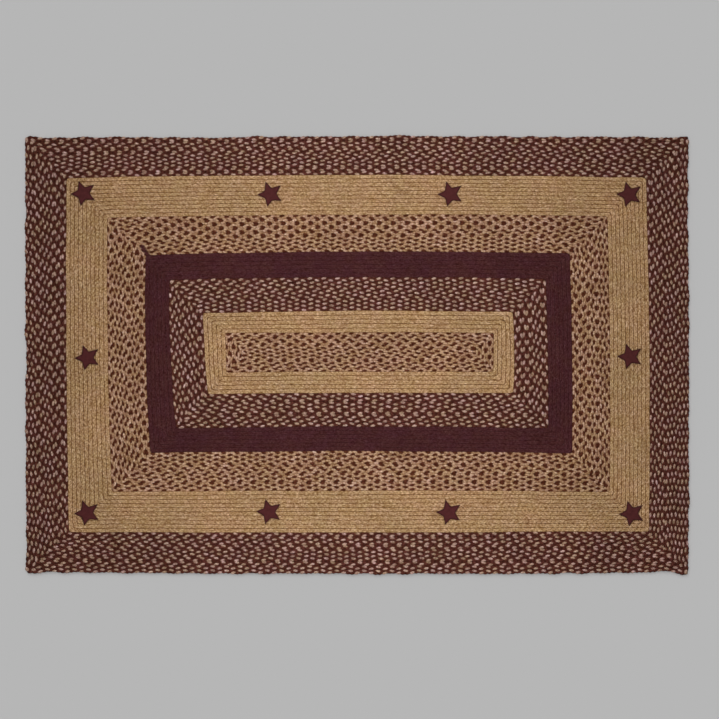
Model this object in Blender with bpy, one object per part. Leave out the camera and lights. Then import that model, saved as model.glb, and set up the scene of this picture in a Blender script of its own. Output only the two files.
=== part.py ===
"""Braided jute rug with star appliques, about 1.83 m by 1.21 m, lying flat.

Seven bands of three-strand braid are laid round one another in mitred
rectangular rounds and laced edge to edge. Ten felt stars are sewn on the wide
natural band. Each band and each star is one closed solid.

Units are metres, +Z is up and +X runs along the long side. The origin lies
under the middle of the rug's outline, on the plane of its underside.
"""

import math
from typing import NamedTuple

import bmesh
import bpy
from mathutils import Vector

MM = 0.001

# Braid
BRAID_THICKNESS = 9.0 * MM
GROOVE_DEPTH = 2.6 * MM  # between two rounds, below their crests
CREST_FROM = 0.25  # share of a round's width where its flat crest starts
CREST_TO = 0.75
RIM_TUCK = 2.5 * MM  # how far the outermost round tucks in under its edge
RIM_LOW = 0.28  # of the braid's thickness: the outer edge is widest from here
RIM_HIGH = 0.62  # to here
SEAM_GAP = 0.3 * MM  # between two bands, and under a star

# Lie of the rounds
SIDE_STEPS = 4  # straight stretches that a bowed side is drawn with
CORNER_CUT = 7.0 * MM  # a round turns its corner over this length of each side

# Stars
STAR_ARMS = 5
STAR_TIP = 37.0 * MM
STAR_NOTCH = 18.5 * MM
STAR_NOTCH_WIDTH = 8.0  # degrees that the rounded notch takes up
STAR_WAIST = 0.55  # along an edge from tip to notch, where it curves in most
STAR_WAIST_IN = 1.0 * MM
STAR_THICKNESS = 1.6 * MM


class Line(NamedTuple):
    """A line between two bands: its four corners, and how far each side bows out, in mm.

    The corners are top left, top right, bottom right and bottom left, as seen
    from above with +Y up.
    """

    tl_x: float
    tl_y: float
    tr_x: float
    tr_y: float
    br_x: float
    br_y: float
    bl_x: float
    bl_y: float
    bow_top: float
    bow_right: float
    bow_bottom: float
    bow_left: float


class Band(NamedTuple):
    """A band of like braid: its rounds, and the line that it starts from."""

    name: str
    rounds: int
    colour: str
    outer: Line


# From the outside in. Each line gives its corners from the top left clockwise, then its bows.
BANDS = (
    Band("outer_border", 10, "#66453A", Line(-914, 599, 912, 600, 913, -599, -912, -598, 4, 2, 4, 2)),
    Band("wide_natural", 10, "#A07D59", Line(-802, 489, 797, 490, 805, -486, -795, -488, 8, 6, 2, 4)),
    Band("tan_fleck", 9, "#83614A", Line(-689, 379, 689, 384, 696, -376, -677, -376, 6, 4, -3, 4)),
    Band("solid_burgundy", 6, "#452424", Line(-584, 276, 587, 280, 593, -270, -571, -269, 8, 3, -5, 6)),
    Band("burgundy_fleck", 8, "#644339", Line(-518, 208, 520, 211, 528, -201, -499, -202, 6, 2, -5, 6)),
    Band("narrow_natural", 5, "#A17E59", Line(-426, 116, 429, 120, 431, -105, -413, -107, 5, 3, -2, 1)),
    Band("centre_panel", 5, "#825F49", Line(-364, 61, 376, 62, 375, -46, -361, -47, 1, 0, -2, 0)),
)
# The innermost round is the braid doubled back along this middle line.
HEART = Line(-310, 7, 323, 8, 323, 8, -310, 7, 0, 0, 0, 0)

STAR_COLOUR = "#4C2425"
FIBRE_ROUGHNESS = 0.95
FELT_ROUGHNESS = 1.0


class Star(NamedTuple):
    """A star's place: its middle from the rug's middle in mm, and its turn in degrees."""

    name: str
    x: float
    y: float
    turn: float


STARS = (
    Star("star_top_left", -754, 447, 4),
    Star("star_top_mid_left", -239, 445, 4),
    Star("star_top_mid_right", 258, 445, 2),
    Star("star_top_right", 751, 444, -1),
    Star("star_left", -743, -6, 3),
    Star("star_right", 753, -3, 0),
    Star("star_bottom_left", -744, -434, 4),
    Star("star_bottom_mid_left", -242, -431, -1),
    Star("star_bottom_mid_right", 254, -433, -1),
    Star("star_bottom_right", 758, -436, 3),
)
FIRST_ARM = 36.0  # degrees from +X to a star's first arm, before its own turn


def linear_colour(srgb_hex):
    """Turn an sRGB hex string into linear RGBA."""
    channels = [int(srgb_hex[i : i + 2], 16) / 255 for i in (1, 3, 5)]
    linear = [c / 12.92 if c <= 0.04045 else ((c + 0.055) / 1.055) ** 2.4 for c in channels]
    return (*linear, 1.0)


def fibre_material(name, srgb_hex, roughness):
    """A plain matt fibre material in one colour."""
    material = bpy.data.materials.new(name)
    material.use_nodes = True
    shader = material.node_tree.nodes["Principled BSDF"]
    shader.inputs["Base Color"].default_value = linear_colour(srgb_hex)
    shader.inputs["Roughness"].default_value = roughness
    shader.inputs["Metallic"].default_value = 0.0
    return material


def between(start, end, share):
    """The line that lies a share of the way from one line to the next."""
    return Line(*(a + (b - a) * share for a, b in zip(start, end)))


def side_points(start, end, bow):
    """Points along one bowed side, which stops short of both corners."""
    along = end - start
    length = along.length
    if length < MM:
        return [start.copy() for _ in range(SIDE_STEPS + 1)]
    outward = Vector((along.y, -along.x)) / length
    cut = min(CORNER_CUT / length, 0.5)
    points = []
    for step in range(SIDE_STEPS + 1):
        share = cut + (1 - 2 * cut) * step / SIDE_STEPS
        points.append(start + along * share + outward * bow * (1 - (2 * share - 1) ** 2))
    return points


def loop_points(line):
    """Points round a line, anticlockwise from its bottom left corner, in metres."""
    top_left = Vector((line.tl_x, line.tl_y)) * MM
    top_right = Vector((line.tr_x, line.tr_y)) * MM
    bottom_right = Vector((line.br_x, line.br_y)) * MM
    bottom_left = Vector((line.bl_x, line.bl_y)) * MM
    sides = (
        (bottom_left, bottom_right, line.bow_bottom),
        (bottom_right, top_right, line.bow_right),
        (top_right, top_left, line.bow_top),
        (top_left, bottom_left, line.bow_left),
    )
    return [point for start, end, bow in sides for point in side_points(start, end, bow * MM)]


def rug_middle():
    """The middle of the box round the outermost line."""
    points = loop_points(BANDS[0].outer)
    xs = [point.x for point in points]
    ys = [point.y for point in points]
    return Vector(((min(xs) + max(xs)) / 2, (min(ys) + max(ys)) / 2))


def band_section(band, inner, first, last):
    """A band's cross-section as pairs of share across the band and height.

    It runs from the underside's outer edge up and over the rounds. A band with
    a hole in it comes back down to its inner edge.
    """
    width = (band.outer.tr_y - inner.tr_y) * MM
    gap = SEAM_GAP / 2 / width
    groove = BRAID_THICKNESS - GROOVE_DEPTH
    if first:
        section = [
            (RIM_TUCK / width, 0.0),
            (0.0, RIM_LOW * BRAID_THICKNESS),
            (0.0, RIM_HIGH * BRAID_THICKNESS),
        ]
    else:
        section = [(gap, 0.0), (gap, groove)]
    for number in range(band.rounds):
        if number:
            section.append((number / band.rounds, groove))
        section.append(((number + CREST_FROM) / band.rounds, BRAID_THICKNESS))
        section.append(((number + CREST_TO) / band.rounds, BRAID_THICKNESS))
    if last:
        section.append((1.0, groove))
    else:
        section += [(1.0 - gap, groove), (1.0 - gap, 0.0)]
    return section


def bridge(bm, lower, upper):
    """Fill the strip between two rings of vertices."""
    count = len(lower)
    for i in range(count):
        j = (i + 1) % count
        bm.faces.new((lower[i], lower[j], upper[j], upper[i]))


def finish_solid(name, bm, material):
    """Close up a shape's doubles, face it outwards and make it an object."""
    bmesh.ops.remove_doubles(bm, verts=bm.verts, dist=0.01 * MM)
    bmesh.ops.recalc_face_normals(bm, faces=bm.faces)
    mesh = bpy.data.meshes.new(name)
    bm.to_mesh(mesh)
    bm.free()
    mesh.materials.append(material)
    rug_piece = bpy.data.objects.new(name, mesh)
    bpy.context.scene.collection.objects.link(rug_piece)
    return rug_piece


def make_band(index, middle):
    """One band of braid, ribbed on top with a rib for each round and flat below."""
    band = BANDS[index]
    last = index == len(BANDS) - 1
    inner = HEART if last else BANDS[index + 1].outer
    bm = bmesh.new()
    rings = []
    for share, height in band_section(band, inner, index == 0, last):
        points = loop_points(between(band.outer, inner, share))
        rings.append([bm.verts.new((*(point - middle), height)) for point in points])
    for lower, upper in zip(rings, rings[1:]):
        bridge(bm, lower, upper)
    if last:
        bm.faces.new(rings[0])
    else:
        bridge(bm, rings[-1], rings[0])
    finish_solid(band.name, bm, fibre_material(band.name, band.colour, FIBRE_ROUGHNESS))


def star_outline(star):
    """Points round a star: each arm has a tip, two curved edges and a rounded notch."""
    half_arm = 180.0 / STAR_ARMS
    notch_angle = half_arm - STAR_NOTCH_WIDTH / 2
    tip = Vector((STAR_TIP, 0.0))
    notch = Vector((math.cos(math.radians(notch_angle)), math.sin(math.radians(notch_angle)))) * STAR_NOTCH
    edge = notch - tip
    inward = Vector((-edge.y, edge.x)).normalized() * STAR_WAIST_IN
    waist = tip + edge * STAR_WAIST + inward
    arm = [Vector((p.x, -p.y)) for p in (notch, waist)] + [tip, waist, notch]
    points = []
    for number in range(STAR_ARMS):
        turn = math.radians(FIRST_ARM + star.turn + number * 2 * half_arm)
        across = Vector((math.cos(turn), math.sin(turn)))
        up = Vector((-across.y, across.x))
        points += [across * p.x + up * p.y for p in arm]
    return points


def make_star(star, middle, material):
    """One felt star, lying just above the crests of the braid."""
    bm = bmesh.new()
    low = BRAID_THICKNESS + SEAM_GAP
    place = Vector((star.x, star.y)) * MM - middle
    outline = [place + point for point in star_outline(star)]
    bottom = [bm.verts.new((*point, low)) for point in outline]
    top = [bm.verts.new((*point, low + STAR_THICKNESS)) for point in outline]
    bm.faces.new(bottom)
    bm.faces.new(top)
    bridge(bm, bottom, top)
    finish_solid(star.name, bm, material)


def main():
    """Clear the scene and make the rug."""
    for existing in list(bpy.data.objects):
        bpy.data.objects.remove(existing)
    middle = rug_middle()
    for index in range(len(BANDS)):
        make_band(index, middle)
    felt = fibre_material("star_felt", STAR_COLOUR, FELT_ROUGHNESS)
    for star in STARS:
        make_star(star, middle, felt)


main()
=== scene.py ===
"""Looks of the braided jute rug, about 1.83 m by 1.21 m, lying flat.

Seven bands of three-strand braid lie in mitred rectangular rounds. Each piece
of braid is a few rounds, plaited from one model of how the strands weave, and
ten felt stars are sewn on the wide natural band.

Units are metres, +Z is up and +X runs along the long side. The plait's own
sizes are in millimetres, as their names say.
"""

import logging
import math
from collections.abc import Callable
from dataclasses import dataclass, field, replace
from enum import Enum
from functools import cached_property
from typing import Any, NamedTuple

import bmesh
import bpy
import numpy as np
from mathutils import Matrix, Vector


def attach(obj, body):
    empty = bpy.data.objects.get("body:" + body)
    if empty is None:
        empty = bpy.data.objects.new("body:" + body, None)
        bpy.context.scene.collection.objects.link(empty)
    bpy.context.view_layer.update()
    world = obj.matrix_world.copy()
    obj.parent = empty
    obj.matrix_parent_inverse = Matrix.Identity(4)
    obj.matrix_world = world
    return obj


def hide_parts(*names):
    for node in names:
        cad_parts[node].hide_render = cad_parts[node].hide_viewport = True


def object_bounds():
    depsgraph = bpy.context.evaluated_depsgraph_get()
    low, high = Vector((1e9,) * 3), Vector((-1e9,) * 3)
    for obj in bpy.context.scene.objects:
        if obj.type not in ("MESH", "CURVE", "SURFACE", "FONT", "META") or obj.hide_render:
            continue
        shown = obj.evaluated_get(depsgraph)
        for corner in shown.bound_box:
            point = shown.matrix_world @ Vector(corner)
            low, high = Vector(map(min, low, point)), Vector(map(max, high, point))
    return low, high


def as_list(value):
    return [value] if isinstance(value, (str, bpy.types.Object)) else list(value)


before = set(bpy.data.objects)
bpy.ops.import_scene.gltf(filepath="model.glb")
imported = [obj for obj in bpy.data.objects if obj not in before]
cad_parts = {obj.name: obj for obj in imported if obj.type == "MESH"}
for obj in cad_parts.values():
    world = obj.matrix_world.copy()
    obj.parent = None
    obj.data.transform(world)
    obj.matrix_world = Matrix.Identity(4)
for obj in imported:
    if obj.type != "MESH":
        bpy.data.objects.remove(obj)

MM = 0.001
FULL_TURN = 2 * math.pi
SIDES = 4  # of each line and round: top, right, bottom and left
BODY = "root"
CAD_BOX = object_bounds()
SLANT = (1.0, 0.618, 0.333)  # a direction along which no two points of a star or a stitch are level

log = logging.getLogger("braided_rug")

Feed = float | tuple[float, ...] | bpy.types.NodeSocket


def linear(srgb_hex: str) -> tuple[float, float, float, float]:
    """Turn an sRGB hex colour into linear RGBA.

    Args:
        srgb_hex: The colour, such as "#A07D59".

    Returns:
        Red, green, blue and an alpha of 1.
    """
    channels = [int(srgb_hex[i : i + 2], 16) / 255 for i in (1, 3, 5)]
    red, green, blue = (c / 12.92 if c <= 0.04045 else ((c + 0.055) / 1.055) ** 2.4 for c in channels)
    return (red, green, blue, 1.0)


@dataclass(frozen=True)
class NodeSheet:
    """A material's nodes while they are being laid out."""

    material: bpy.types.Material

    @classmethod
    def named(cls, name: str) -> "NodeSheet":
        """Start a material that has only its Principled BSDF and its output.

        Args:
            name: The material's name.

        Returns:
            The sheet to lay its nodes out on.
        """
        material = bpy.data.materials.new(name)
        material.use_nodes = True
        return cls(material)

    def add(
        self, kind: str, feeds: dict[int | str, Feed] | None = None, output: int | str = 0, **settings: Any
    ) -> bpy.types.NodeSocket:
        """Add a node with its settings and links.

        Args:
            kind: The node's type, without its "ShaderNode".
            feeds: A constant or another node's output for each input that isn't left alone.
            output: Which of the node's outputs to hand back.
            settings: The node's own options.

        Returns:
            The chosen output.
        """
        node = self.material.node_tree.nodes.new("ShaderNode" + kind)
        for option, value in settings.items():
            setattr(node, option, value)
        self._feed(node, feeds or {})
        return node.outputs[output]

    def surface(self, feeds: dict[str, Feed]) -> bpy.types.Material:
        """Feed the Principled BSDF.

        Args:
            feeds: A constant or a node's output for each input that isn't left alone.

        Returns:
            The finished material.
        """
        self._feed(self.material.node_tree.nodes["Principled BSDF"], feeds)
        return self.material

    def _feed(self, node: bpy.types.Node, feeds: dict[int | str, Feed]) -> None:
        """Set a node's inputs to constants, or link them.

        Args:
            node: The node.
            feeds: A constant or another node's output for each input that isn't left alone.
        """
        for place, feed in feeds.items():
            if isinstance(feed, bpy.types.NodeSocket):
                self.material.node_tree.links.new(feed, node.inputs[place])
            else:
                node.inputs[place].default_value = feed


@dataclass(frozen=True)
class Plait:
    """How three strands weave in one round of braid.

    Each strand's middle swings to both sides once in a repeat and dives under
    the other two twice, a third of a repeat behind the strand before it. The
    strand's section is an oval that is pressed flat on top.
    """

    SEARCH_STEPS = 401  # places that are tried for a crease

    repeat_mm: float = 38.0
    half_width_mm: float = 5.75
    swing_mm: float = 3.1
    dive_mm: float = 1.9
    lag: float = 0.65  # in radians: a strand rides highest that much after its steepest swing
    strand_half_width_mm: float = 3.0
    strand_half_depth_mm: float = 1.85
    drop_mm: float = 3.1  # how fast the height falls off outside a strand's oval
    strands: int = 3

    @property
    def steepest(self) -> float:
        """Slope of a strand's middle line where it crosses the braid's middle."""
        return self.swing_mm * FULL_TURN / self.repeat_mm

    def rise_mm(self, repeats: np.ndarray, across: np.ndarray) -> np.ndarray:
        """Height of the topmost strand above the braid's middle.

        Args:
            repeats: Place along the braid, in repeats.
            across: Place across it, from -1 at its inner edge to 1 at its outer one.

        Returns:
            The height in millimetres, in the shape of the two arguments together.
        """
        offset = np.asarray(across) * self.half_width_mm
        heights = []
        for strand in range(self.strands):
            turn = FULL_TURN * (repeats + strand / self.strands)
            slope = self.steepest * np.cos(turn)
            lead = (offset - self.swing_mm * np.sin(turn)) * slope / (1 + slope**2)
            phase = turn + lead * FULL_TURN / self.repeat_mm
            beside = offset - self.swing_mm * np.sin(phase)
            reach = (beside**2 + lead**2) / self.strand_half_width_mm**2
            arch = self.strand_half_depth_mm * np.sqrt(np.maximum(1 - reach**2, 0))
            fallen = self.drop_mm * np.minimum(1 - reach, 0)
            heights.append(self.dive_mm * np.sin(2 * phase - self.lag) + arch + fallen)
        return np.max(heights, axis=0)

    def crease(self, across: float) -> float:
        """Where along the repeat the dip between two lobes lies.

        Args:
            across: Place across the outer half, from 0 to 1.

        Returns:
            The dip that is nearest to the repeat's start, in repeats.
        """
        reach = 1 / (4 * self.strands)
        near = np.linspace(-reach, reach, self.SEARCH_STEPS)
        return float(near[np.argmin(self.rise_mm(near, np.full_like(near, across)))])


PLAIT = Plait()
PLAIT_UV = "Plait"  # repeats along, and 4 for each round plus the place across it
BAKE_UV = "OFBake"
ROUND_STEP = 4.0  # between two rounds in the second coordinate of PLAIT_UV
SPLICE = "Splice"  # how far a spot is covered by the strand that is tucked in there


@dataclass(frozen=True)
class JuteBraid:
    """Plaited jute yarn: dyed in the hank, lightly twisted and matt.

    Each strand is four thin yarns side by side. The eye gets soft flat lobes
    with the grain of their yarns and slubs, patches that are yellower or redder
    than the next, and warm brown painted shade in the creases where strands go
    under, in the hollows and in the grooves between rounds. What is darker
    in a yarn is also richer in colour, because light has gone deeper between
    its fibres.

    Attributes:
        name: What a maker would call it.
        odd: Colour of one strand of the three.
        rest: Colour of the other two.
        lobe_spread: How much lighter or darker whole lobes are.
        yarn_spread: The same for the yarns in a lobe.
        bead_spread: The same for each turn of a yarn's twist.
        slub_spread: The same for the thick and thin places of a yarn.
        patch_spread: The same for patches as wide as a hand is long.
        golden: What the yellowest spots' colour is multiplied by.
        rosy: What the reddest spots' colour is multiplied by.
        warm: What the dye drifts to in patches, as a colour to multiply by.
        drift: Share of that drift at most.
        shaded: Tint of the painted shade deep between strands: what is left of the colour there, as a
            colour to multiply by.
        painted_crease_shade: Share of that at a crease between two lobes.
        painted_hollow_shade: The same where the top strand lies low.
        painted_groove_shade: The same in the groove between two rounds.
        richness: The power that the shade is raised to in red, green and blue.
        splice_dye: Colour of a strand that is tucked in over the braid.
        yarn_mm: Width of a yarn.
        ply_mm: From one turn of a yarn's twist to the next.
        slub_long_mm: Length of a thick place in a yarn.
        slub_thick_mm: Width of it.
        yarn_relief_mm: How far a yarn stands up.
        ply_relief_mm: How far a turn of its twist does.
        plait_relief: Share of the plait's own height that is added as bump.
        patch_mm: Size of a patch where the dye took differently.
        hue_mm: Size of a yellower or redder spot.
        crease_mm: Height over the strand below that is still in a crease.
        hollow_mm: Heights of the deepest hollow and of no hollow.
        groove_from: Where across the braid a groove starts.
        edge_mm: Two strands' colours meet over this difference in height.
        roughness: The fibres' roughness.
        specular: How much of the usual shine they keep.
    """

    # Odd factors that give each round, lobe and yarn a draw of its own.
    ROUND_FACTOR = 57.3
    LOBE_FACTOR = 913.7
    YARN_FACTOR = 31.7
    SHARPNESS = 1000.0  # how sharply the topmost strand is told from the others, in each mm
    # Parts of each noise's range that are stretched to the whole of it.
    SLUB_RANGE = (0.3, 0.7)
    PATCH_RANGE = (0.35, 0.65)
    HUE_RANGE = (0.36, 0.64)

    name: str
    odd: str
    rest: str
    lobe_spread: float = 0.1
    yarn_spread: float = 0.16
    bead_spread: float = 0.45
    slub_spread: float = 0.36
    patch_spread: float = 0.07
    golden: str = "#FFFFEC"
    rosy: str = "#FFF8FF"
    warm: str = "#F2D9C4"
    drift: float = 0.4
    # Painted shade deep between strands: its tint, and its share at creases, in hollows and in grooves.
    shaded: str = "#B89C80"
    painted_crease_shade: float = 0.35
    painted_hollow_shade: float = 0.6
    painted_groove_shade: float = 0.0
    richness: tuple[float, float, float] = (1.0, 1.2, 1.5)
    splice_dye: str = "#502826"
    yarn_mm: float = 1.6
    ply_mm: float = 2.4
    slub_long_mm: float = 4.2
    slub_thick_mm: float = 2.0
    yarn_relief_mm: float = 0.25
    ply_relief_mm: float = 0.12
    plait_relief: float = 0.25
    patch_mm: float = 150.0
    hue_mm: float = 34.0
    crease_mm: float = 0.6
    hollow_mm: tuple[float, float] = (0.6, 2.6)
    groove_from: float = 0.7
    edge_mm: float = 0.2
    roughness: float = 0.85
    specular: float = 0.12

    def material(self) -> bpy.types.Material:
        """Lay out the braid's nodes.

        Returns:
            The material, which reads the piece's plait UV and Object coordinates.
        """
        sheet = NodeSheet.named(self.name)
        add = sheet.add

        # Where this spot is: repeats along, which round, and how far across it.
        place = add("SeparateXYZ", {0: add("UVMap", uv_map=PLAIT_UV)}).node.outputs
        counted = add("Math", {0: place["Y"], 1: 1 / ROUND_STEP, 2: 0.5}, operation="MULTIPLY_ADD")
        number = add("Math", {0: counted}, operation="FLOOR")
        across = add("Math", {0: number, 1: -ROUND_STEP, 2: place["Y"]}, operation="MULTIPLY_ADD")
        offset = add("Math", {0: across, 1: PLAIT.half_width_mm}, operation="MULTIPLY")

        # The plait's model, for all three strands at once as the parts of a vector.
        third = FULL_TURN / PLAIT.strands
        radians = FULL_TURN / PLAIT.repeat_mm
        turn = add(
            "VectorMath",
            {0: place["X"], 1: (FULL_TURN,) * 3, 2: (0.0, third, 2 * third)},
            operation="MULTIPLY_ADD",
        )
        start = add("VectorMath", {0: turn}, operation="SINE")
        heading = add("VectorMath", {0: turn}, operation="COSINE")
        aside = add(
            "VectorMath", {0: start, 1: (-PLAIT.swing_mm,) * 3, 2: offset}, operation="MULTIPLY_ADD"
        )
        slope = add("VectorMath", {0: heading, 1: (PLAIT.steepest,) * 3}, operation="MULTIPLY")
        steepness = add("VectorMath", {0: slope, 1: slope, 2: (1.0,) * 3}, operation="MULTIPLY_ADD")
        leaning = add("VectorMath", {0: aside, 1: slope}, operation="MULTIPLY")
        lead = add("VectorMath", {0: leaning, 1: steepness}, operation="DIVIDE")
        phase = add("VectorMath", {0: lead, 1: (radians,) * 3, 2: turn}, operation="MULTIPLY_ADD")
        swing = add("VectorMath", {0: phase}, operation="SINE")
        beside = add(
            "VectorMath", {0: swing, 1: (-PLAIT.swing_mm,) * 3, 2: offset}, operation="MULTIPLY_ADD"
        )
        squares = add("VectorMath", {0: lead, 1: lead}, operation="MULTIPLY")
        distance = add("VectorMath", {0: beside, 1: beside, 2: squares}, operation="MULTIPLY_ADD")
        reach = add(
            "VectorMath", {0: distance, 1: (1 / PLAIT.strand_half_width_mm**2,) * 3}, operation="MULTIPLY"
        )
        beyond = add("VectorMath", {0: (1.0,) * 3, 1: reach}, operation="SUBTRACT")
        outside = add("VectorMath", {0: beyond}, operation="MINIMUM")
        minus_reach = add("VectorMath", {0: reach, 1: (-1.0,) * 3}, operation="MULTIPLY")
        oval = add("VectorMath", {0: reach, 1: minus_reach, 2: (1.0,) * 3}, operation="MULTIPLY_ADD")
        inside = add("VectorMath", {0: oval}, operation="MAXIMUM")
        arch = add("VectorMath", {0: inside, 1: (0.5,) * 3}, operation="POWER")
        fallen = add("VectorMath", {0: outside, 1: (PLAIT.drop_mm,) * 3}, operation="MULTIPLY")
        arched = add(
            "VectorMath",
            {0: arch, 1: (PLAIT.strand_half_depth_mm,) * 3, 2: fallen},
            operation="MULTIPLY_ADD",
        )
        doubled = add(
            "VectorMath", {0: phase, 1: (2.0,) * 3, 2: (-PLAIT.lag,) * 3}, operation="MULTIPLY_ADD"
        )
        dive = add("VectorMath", {0: doubled}, operation="SINE")
        heights = add(
            "VectorMath", {0: dive, 1: (PLAIT.dive_mm,) * 3, 2: arched}, operation="MULTIPLY_ADD"
        )

        # Which strand is on top, and by how much.
        first, second, last = add("SeparateXYZ", {0: heights}).node.outputs
        others = add("Math", {0: second, 1: last}, operation="MAXIMUM")
        top = add("Math", {0: first, 1: others}, operation="MAXIMUM")
        pair = add("Math", {0: second, 1: last}, operation="MINIMUM")
        higher = add("Math", {0: first, 1: others}, operation="MINIMUM")
        runner_up = add("Math", {0: pair, 1: higher}, operation="MAXIMUM")
        gap = add("Math", {0: top, 1: runner_up}, operation="SUBTRACT")
        lead_of_odd = add("Math", {0: first, 1: others}, operation="SUBTRACT")
        is_odd = add(
            "Math", {0: lead_of_odd, 1: 1 / self.edge_mm, 2: 0.5}, operation="MULTIPLY_ADD", use_clamp=True
        )
        below_top = add("VectorMath", {0: heights, 1: top}, operation="SUBTRACT")
        sharp = add(
            "VectorMath",
            {0: below_top, 1: (self.SHARPNESS,) * 3, 2: (1.0,) * 3},
            operation="MULTIPLY_ADD",
        )
        on_top = add("VectorMath", {0: sharp}, operation="MAXIMUM")
        strand = add("VectorMath", {0: on_top, 1: (0.0, 1.0, 2.0)}, operation="DOT_PRODUCT", output="Value")
        strand_phase = add("VectorMath", {0: on_top, 1: phase}, operation="DOT_PRODUCT", output="Value")
        strand_side = add("VectorMath", {0: on_top, 1: beside}, operation="DOT_PRODUCT", output="Value")

        # Each lobe is half a swing of one strand and has its own shade.
        half_swing = add("Math", {0: strand_phase, 1: 1 / math.pi}, operation="MULTIPLY")
        lobe = add("Math", {0: half_swing}, operation="FLOOR")
        braid_mark = add("Math", {0: number, 1: self.ROUND_FACTOR, 2: strand}, operation="MULTIPLY_ADD")
        lobe_mark = add("Math", {0: braid_mark, 1: self.LOBE_FACTOR, 2: lobe}, operation="MULTIPLY_ADD")
        lobe_dice = add("TexWhiteNoise", {"W": lobe_mark}, noise_dimensions="1D")

        # The yarns of a lobe, each with its own draw, its ridge and its twist.
        strand_mm = add("Math", {0: strand_phase, 1: 1 / radians}, operation="MULTIPLY")
        yarn_side = add(
            "Math", {0: strand_side, 1: 1 / self.yarn_mm, 2: 0.5}, operation="MULTIPLY_ADD"
        )
        yarn = add("Math", {0: yarn_side}, operation="FLOOR")
        yarn_mark = add("Math", {0: yarn, 1: self.YARN_FACTOR, 2: lobe_mark}, operation="MULTIPLY_ADD")
        yarn_dice = add("TexWhiteNoise", {"W": yarn_mark}, noise_dimensions="1D")
        in_yarn = add("Math", {0: yarn_side, 1: yarn}, operation="SUBTRACT")
        round_yarn = add("Math", {0: in_yarn, 1: math.pi}, operation="MULTIPLY")
        ridge = add("Math", {0: round_yarn}, operation="SINE")
        twisted = add("Math", {0: strand_mm, 1: 1 / self.ply_mm, 2: yarn_side}, operation="MULTIPLY_ADD")
        round_plies = add("Math", {0: twisted, 1: FULL_TURN}, operation="MULTIPLY")
        plies = add("Math", {0: round_plies}, operation="SINE")
        bead = add("Math", {0: twisted}, operation="FLOOR")
        bead_place = add("CombineXYZ", {0: bead, 1: yarn, 2: braid_mark})
        bead_dice = add("TexWhiteNoise", {"Vector": bead_place}, noise_dimensions="3D")

        # Thick and thin places lie along the yarns, so their noise is stretched that way.
        slub_along = add("Math", {0: strand_mm, 1: 1 / self.slub_long_mm}, operation="MULTIPLY")
        slub_side = add("Math", {0: strand_side, 1: 1 / self.slub_thick_mm}, operation="MULTIPLY")
        slub_place = add("CombineXYZ", {0: slub_along, 1: slub_side, 2: braid_mark})
        slubs = add("TexNoise", {"Vector": slub_place, "Scale": 1.0, "Detail": 3.0, "Roughness": 0.6})

        # The dye takes unevenly over a hand's width.
        where = add("TexCoord", output="Object")
        patches = add(
            "TexNoise",
            {"Vector": where, "Scale": 1 / (self.patch_mm * MM), "Detail": 2.0, "Roughness": 0.55},
        )
        patch_low, patch_high = self.PATCH_RANGE
        patchy = add("MapRange", {0: patches, 1: patch_low, 2: patch_high, 3: 0.0, 4: 1.0}, clamp=True)
        hues = add(
            "TexNoise", {"Vector": where, "Scale": 1 / (self.hue_mm * MM), "Detail": 2.0, "Roughness": 0.6}
        )
        hue_low, hue_high = self.HUE_RANGE
        rosiness = add("MapRange", {0: hues, 1: hue_low, 2: hue_high}, clamp=True)

        # Shade: lobe, yarn, turn of the twist, slub and patch.
        shade = add("MapRange", {0: lobe_dice, 3: 1 - self.lobe_spread, 4: 1 + self.lobe_spread})
        yarn_shade = add("MapRange", {0: yarn_dice, 3: 1 - self.yarn_spread, 4: 1 + self.yarn_spread})
        bead_shade = add("MapRange", {0: bead_dice, 3: 1 - self.bead_spread, 4: 1 + self.bead_spread})
        thin, thick = self.SLUB_RANGE
        slub_shade = add(
            "MapRange", {0: slubs, 1: thin, 2: thick, 3: 1 - self.slub_spread, 4: 1 + self.slub_spread}
        )
        patch_shade = add("MapRange", {0: patchy, 3: 1 - self.patch_spread, 4: 1 + self.patch_spread})
        for factor in (yarn_shade, bead_shade, slub_shade, patch_shade):
            shade = add("Math", {0: shade, 1: factor}, operation="MULTIPLY")

        # Painted shade: how deep between strands the spot lies, at a crease, in a hollow and in the groove
        # between rounds; it darkens the colour below.
        creases = add(
            "MapRange",
            {0: gap, 1: 0.0, 2: self.crease_mm, 3: self.painted_crease_shade, 4: 0.0},
            interpolation_type="SMOOTHSTEP",
        )
        lowest, highest = self.hollow_mm
        hollows = add(
            "MapRange",
            {0: top, 1: lowest, 2: highest, 3: self.painted_hollow_shade, 4: 0.0},
            interpolation_type="SMOOTHSTEP",
        )
        to_edge = add("Math", {0: across}, operation="ABSOLUTE")
        grooves = add(
            "MapRange",
            {0: to_edge, 1: self.groove_from, 2: 1.0, 3: 0.0, 4: self.painted_groove_shade},
            interpolation_type="SMOOTHSTEP",
        )
        lower = add("Math", {0: hollows, 1: grooves}, operation="MAXIMUM")
        deep = add("Math", {0: creases, 1: lower}, operation="MAXIMUM")

        # Colour: the two dyes, their hue, the drift, the painted shade deep between strands, and the strand
        # that is tucked in at a join.
        dyed = add("Mix", {0: is_odd, 6: linear(self.rest), 7: linear(self.odd)}, 2, data_type="RGBA")
        hue = add(
            "Mix", {0: rosiness, 6: linear(self.golden), 7: linear(self.rosy)}, 2, data_type="RGBA"
        )
        drifting = add("Math", {0: patchy, 1: self.drift}, operation="MULTIPLY")
        colour = dyed
        for share, tint in ((1.0, hue), (drifting, linear(self.warm)), (deep, linear(self.shaded))):
            colour = add("Mix", {0: share, 6: colour, 7: tint}, 2, data_type="RGBA", blend_type="MULTIPLY")
        splice = add("Attribute", output="Fac", attribute_name=SPLICE)
        joined = add("Mix", {0: splice, 6: colour, 7: linear(self.splice_dye)}, 2, data_type="RGBA")
        rich_shade = add("VectorMath", {0: shade, 1: self.richness}, operation="POWER")
        shaded = add("VectorMath", {0: joined, 1: rich_shade}, operation="MULTIPLY")

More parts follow.
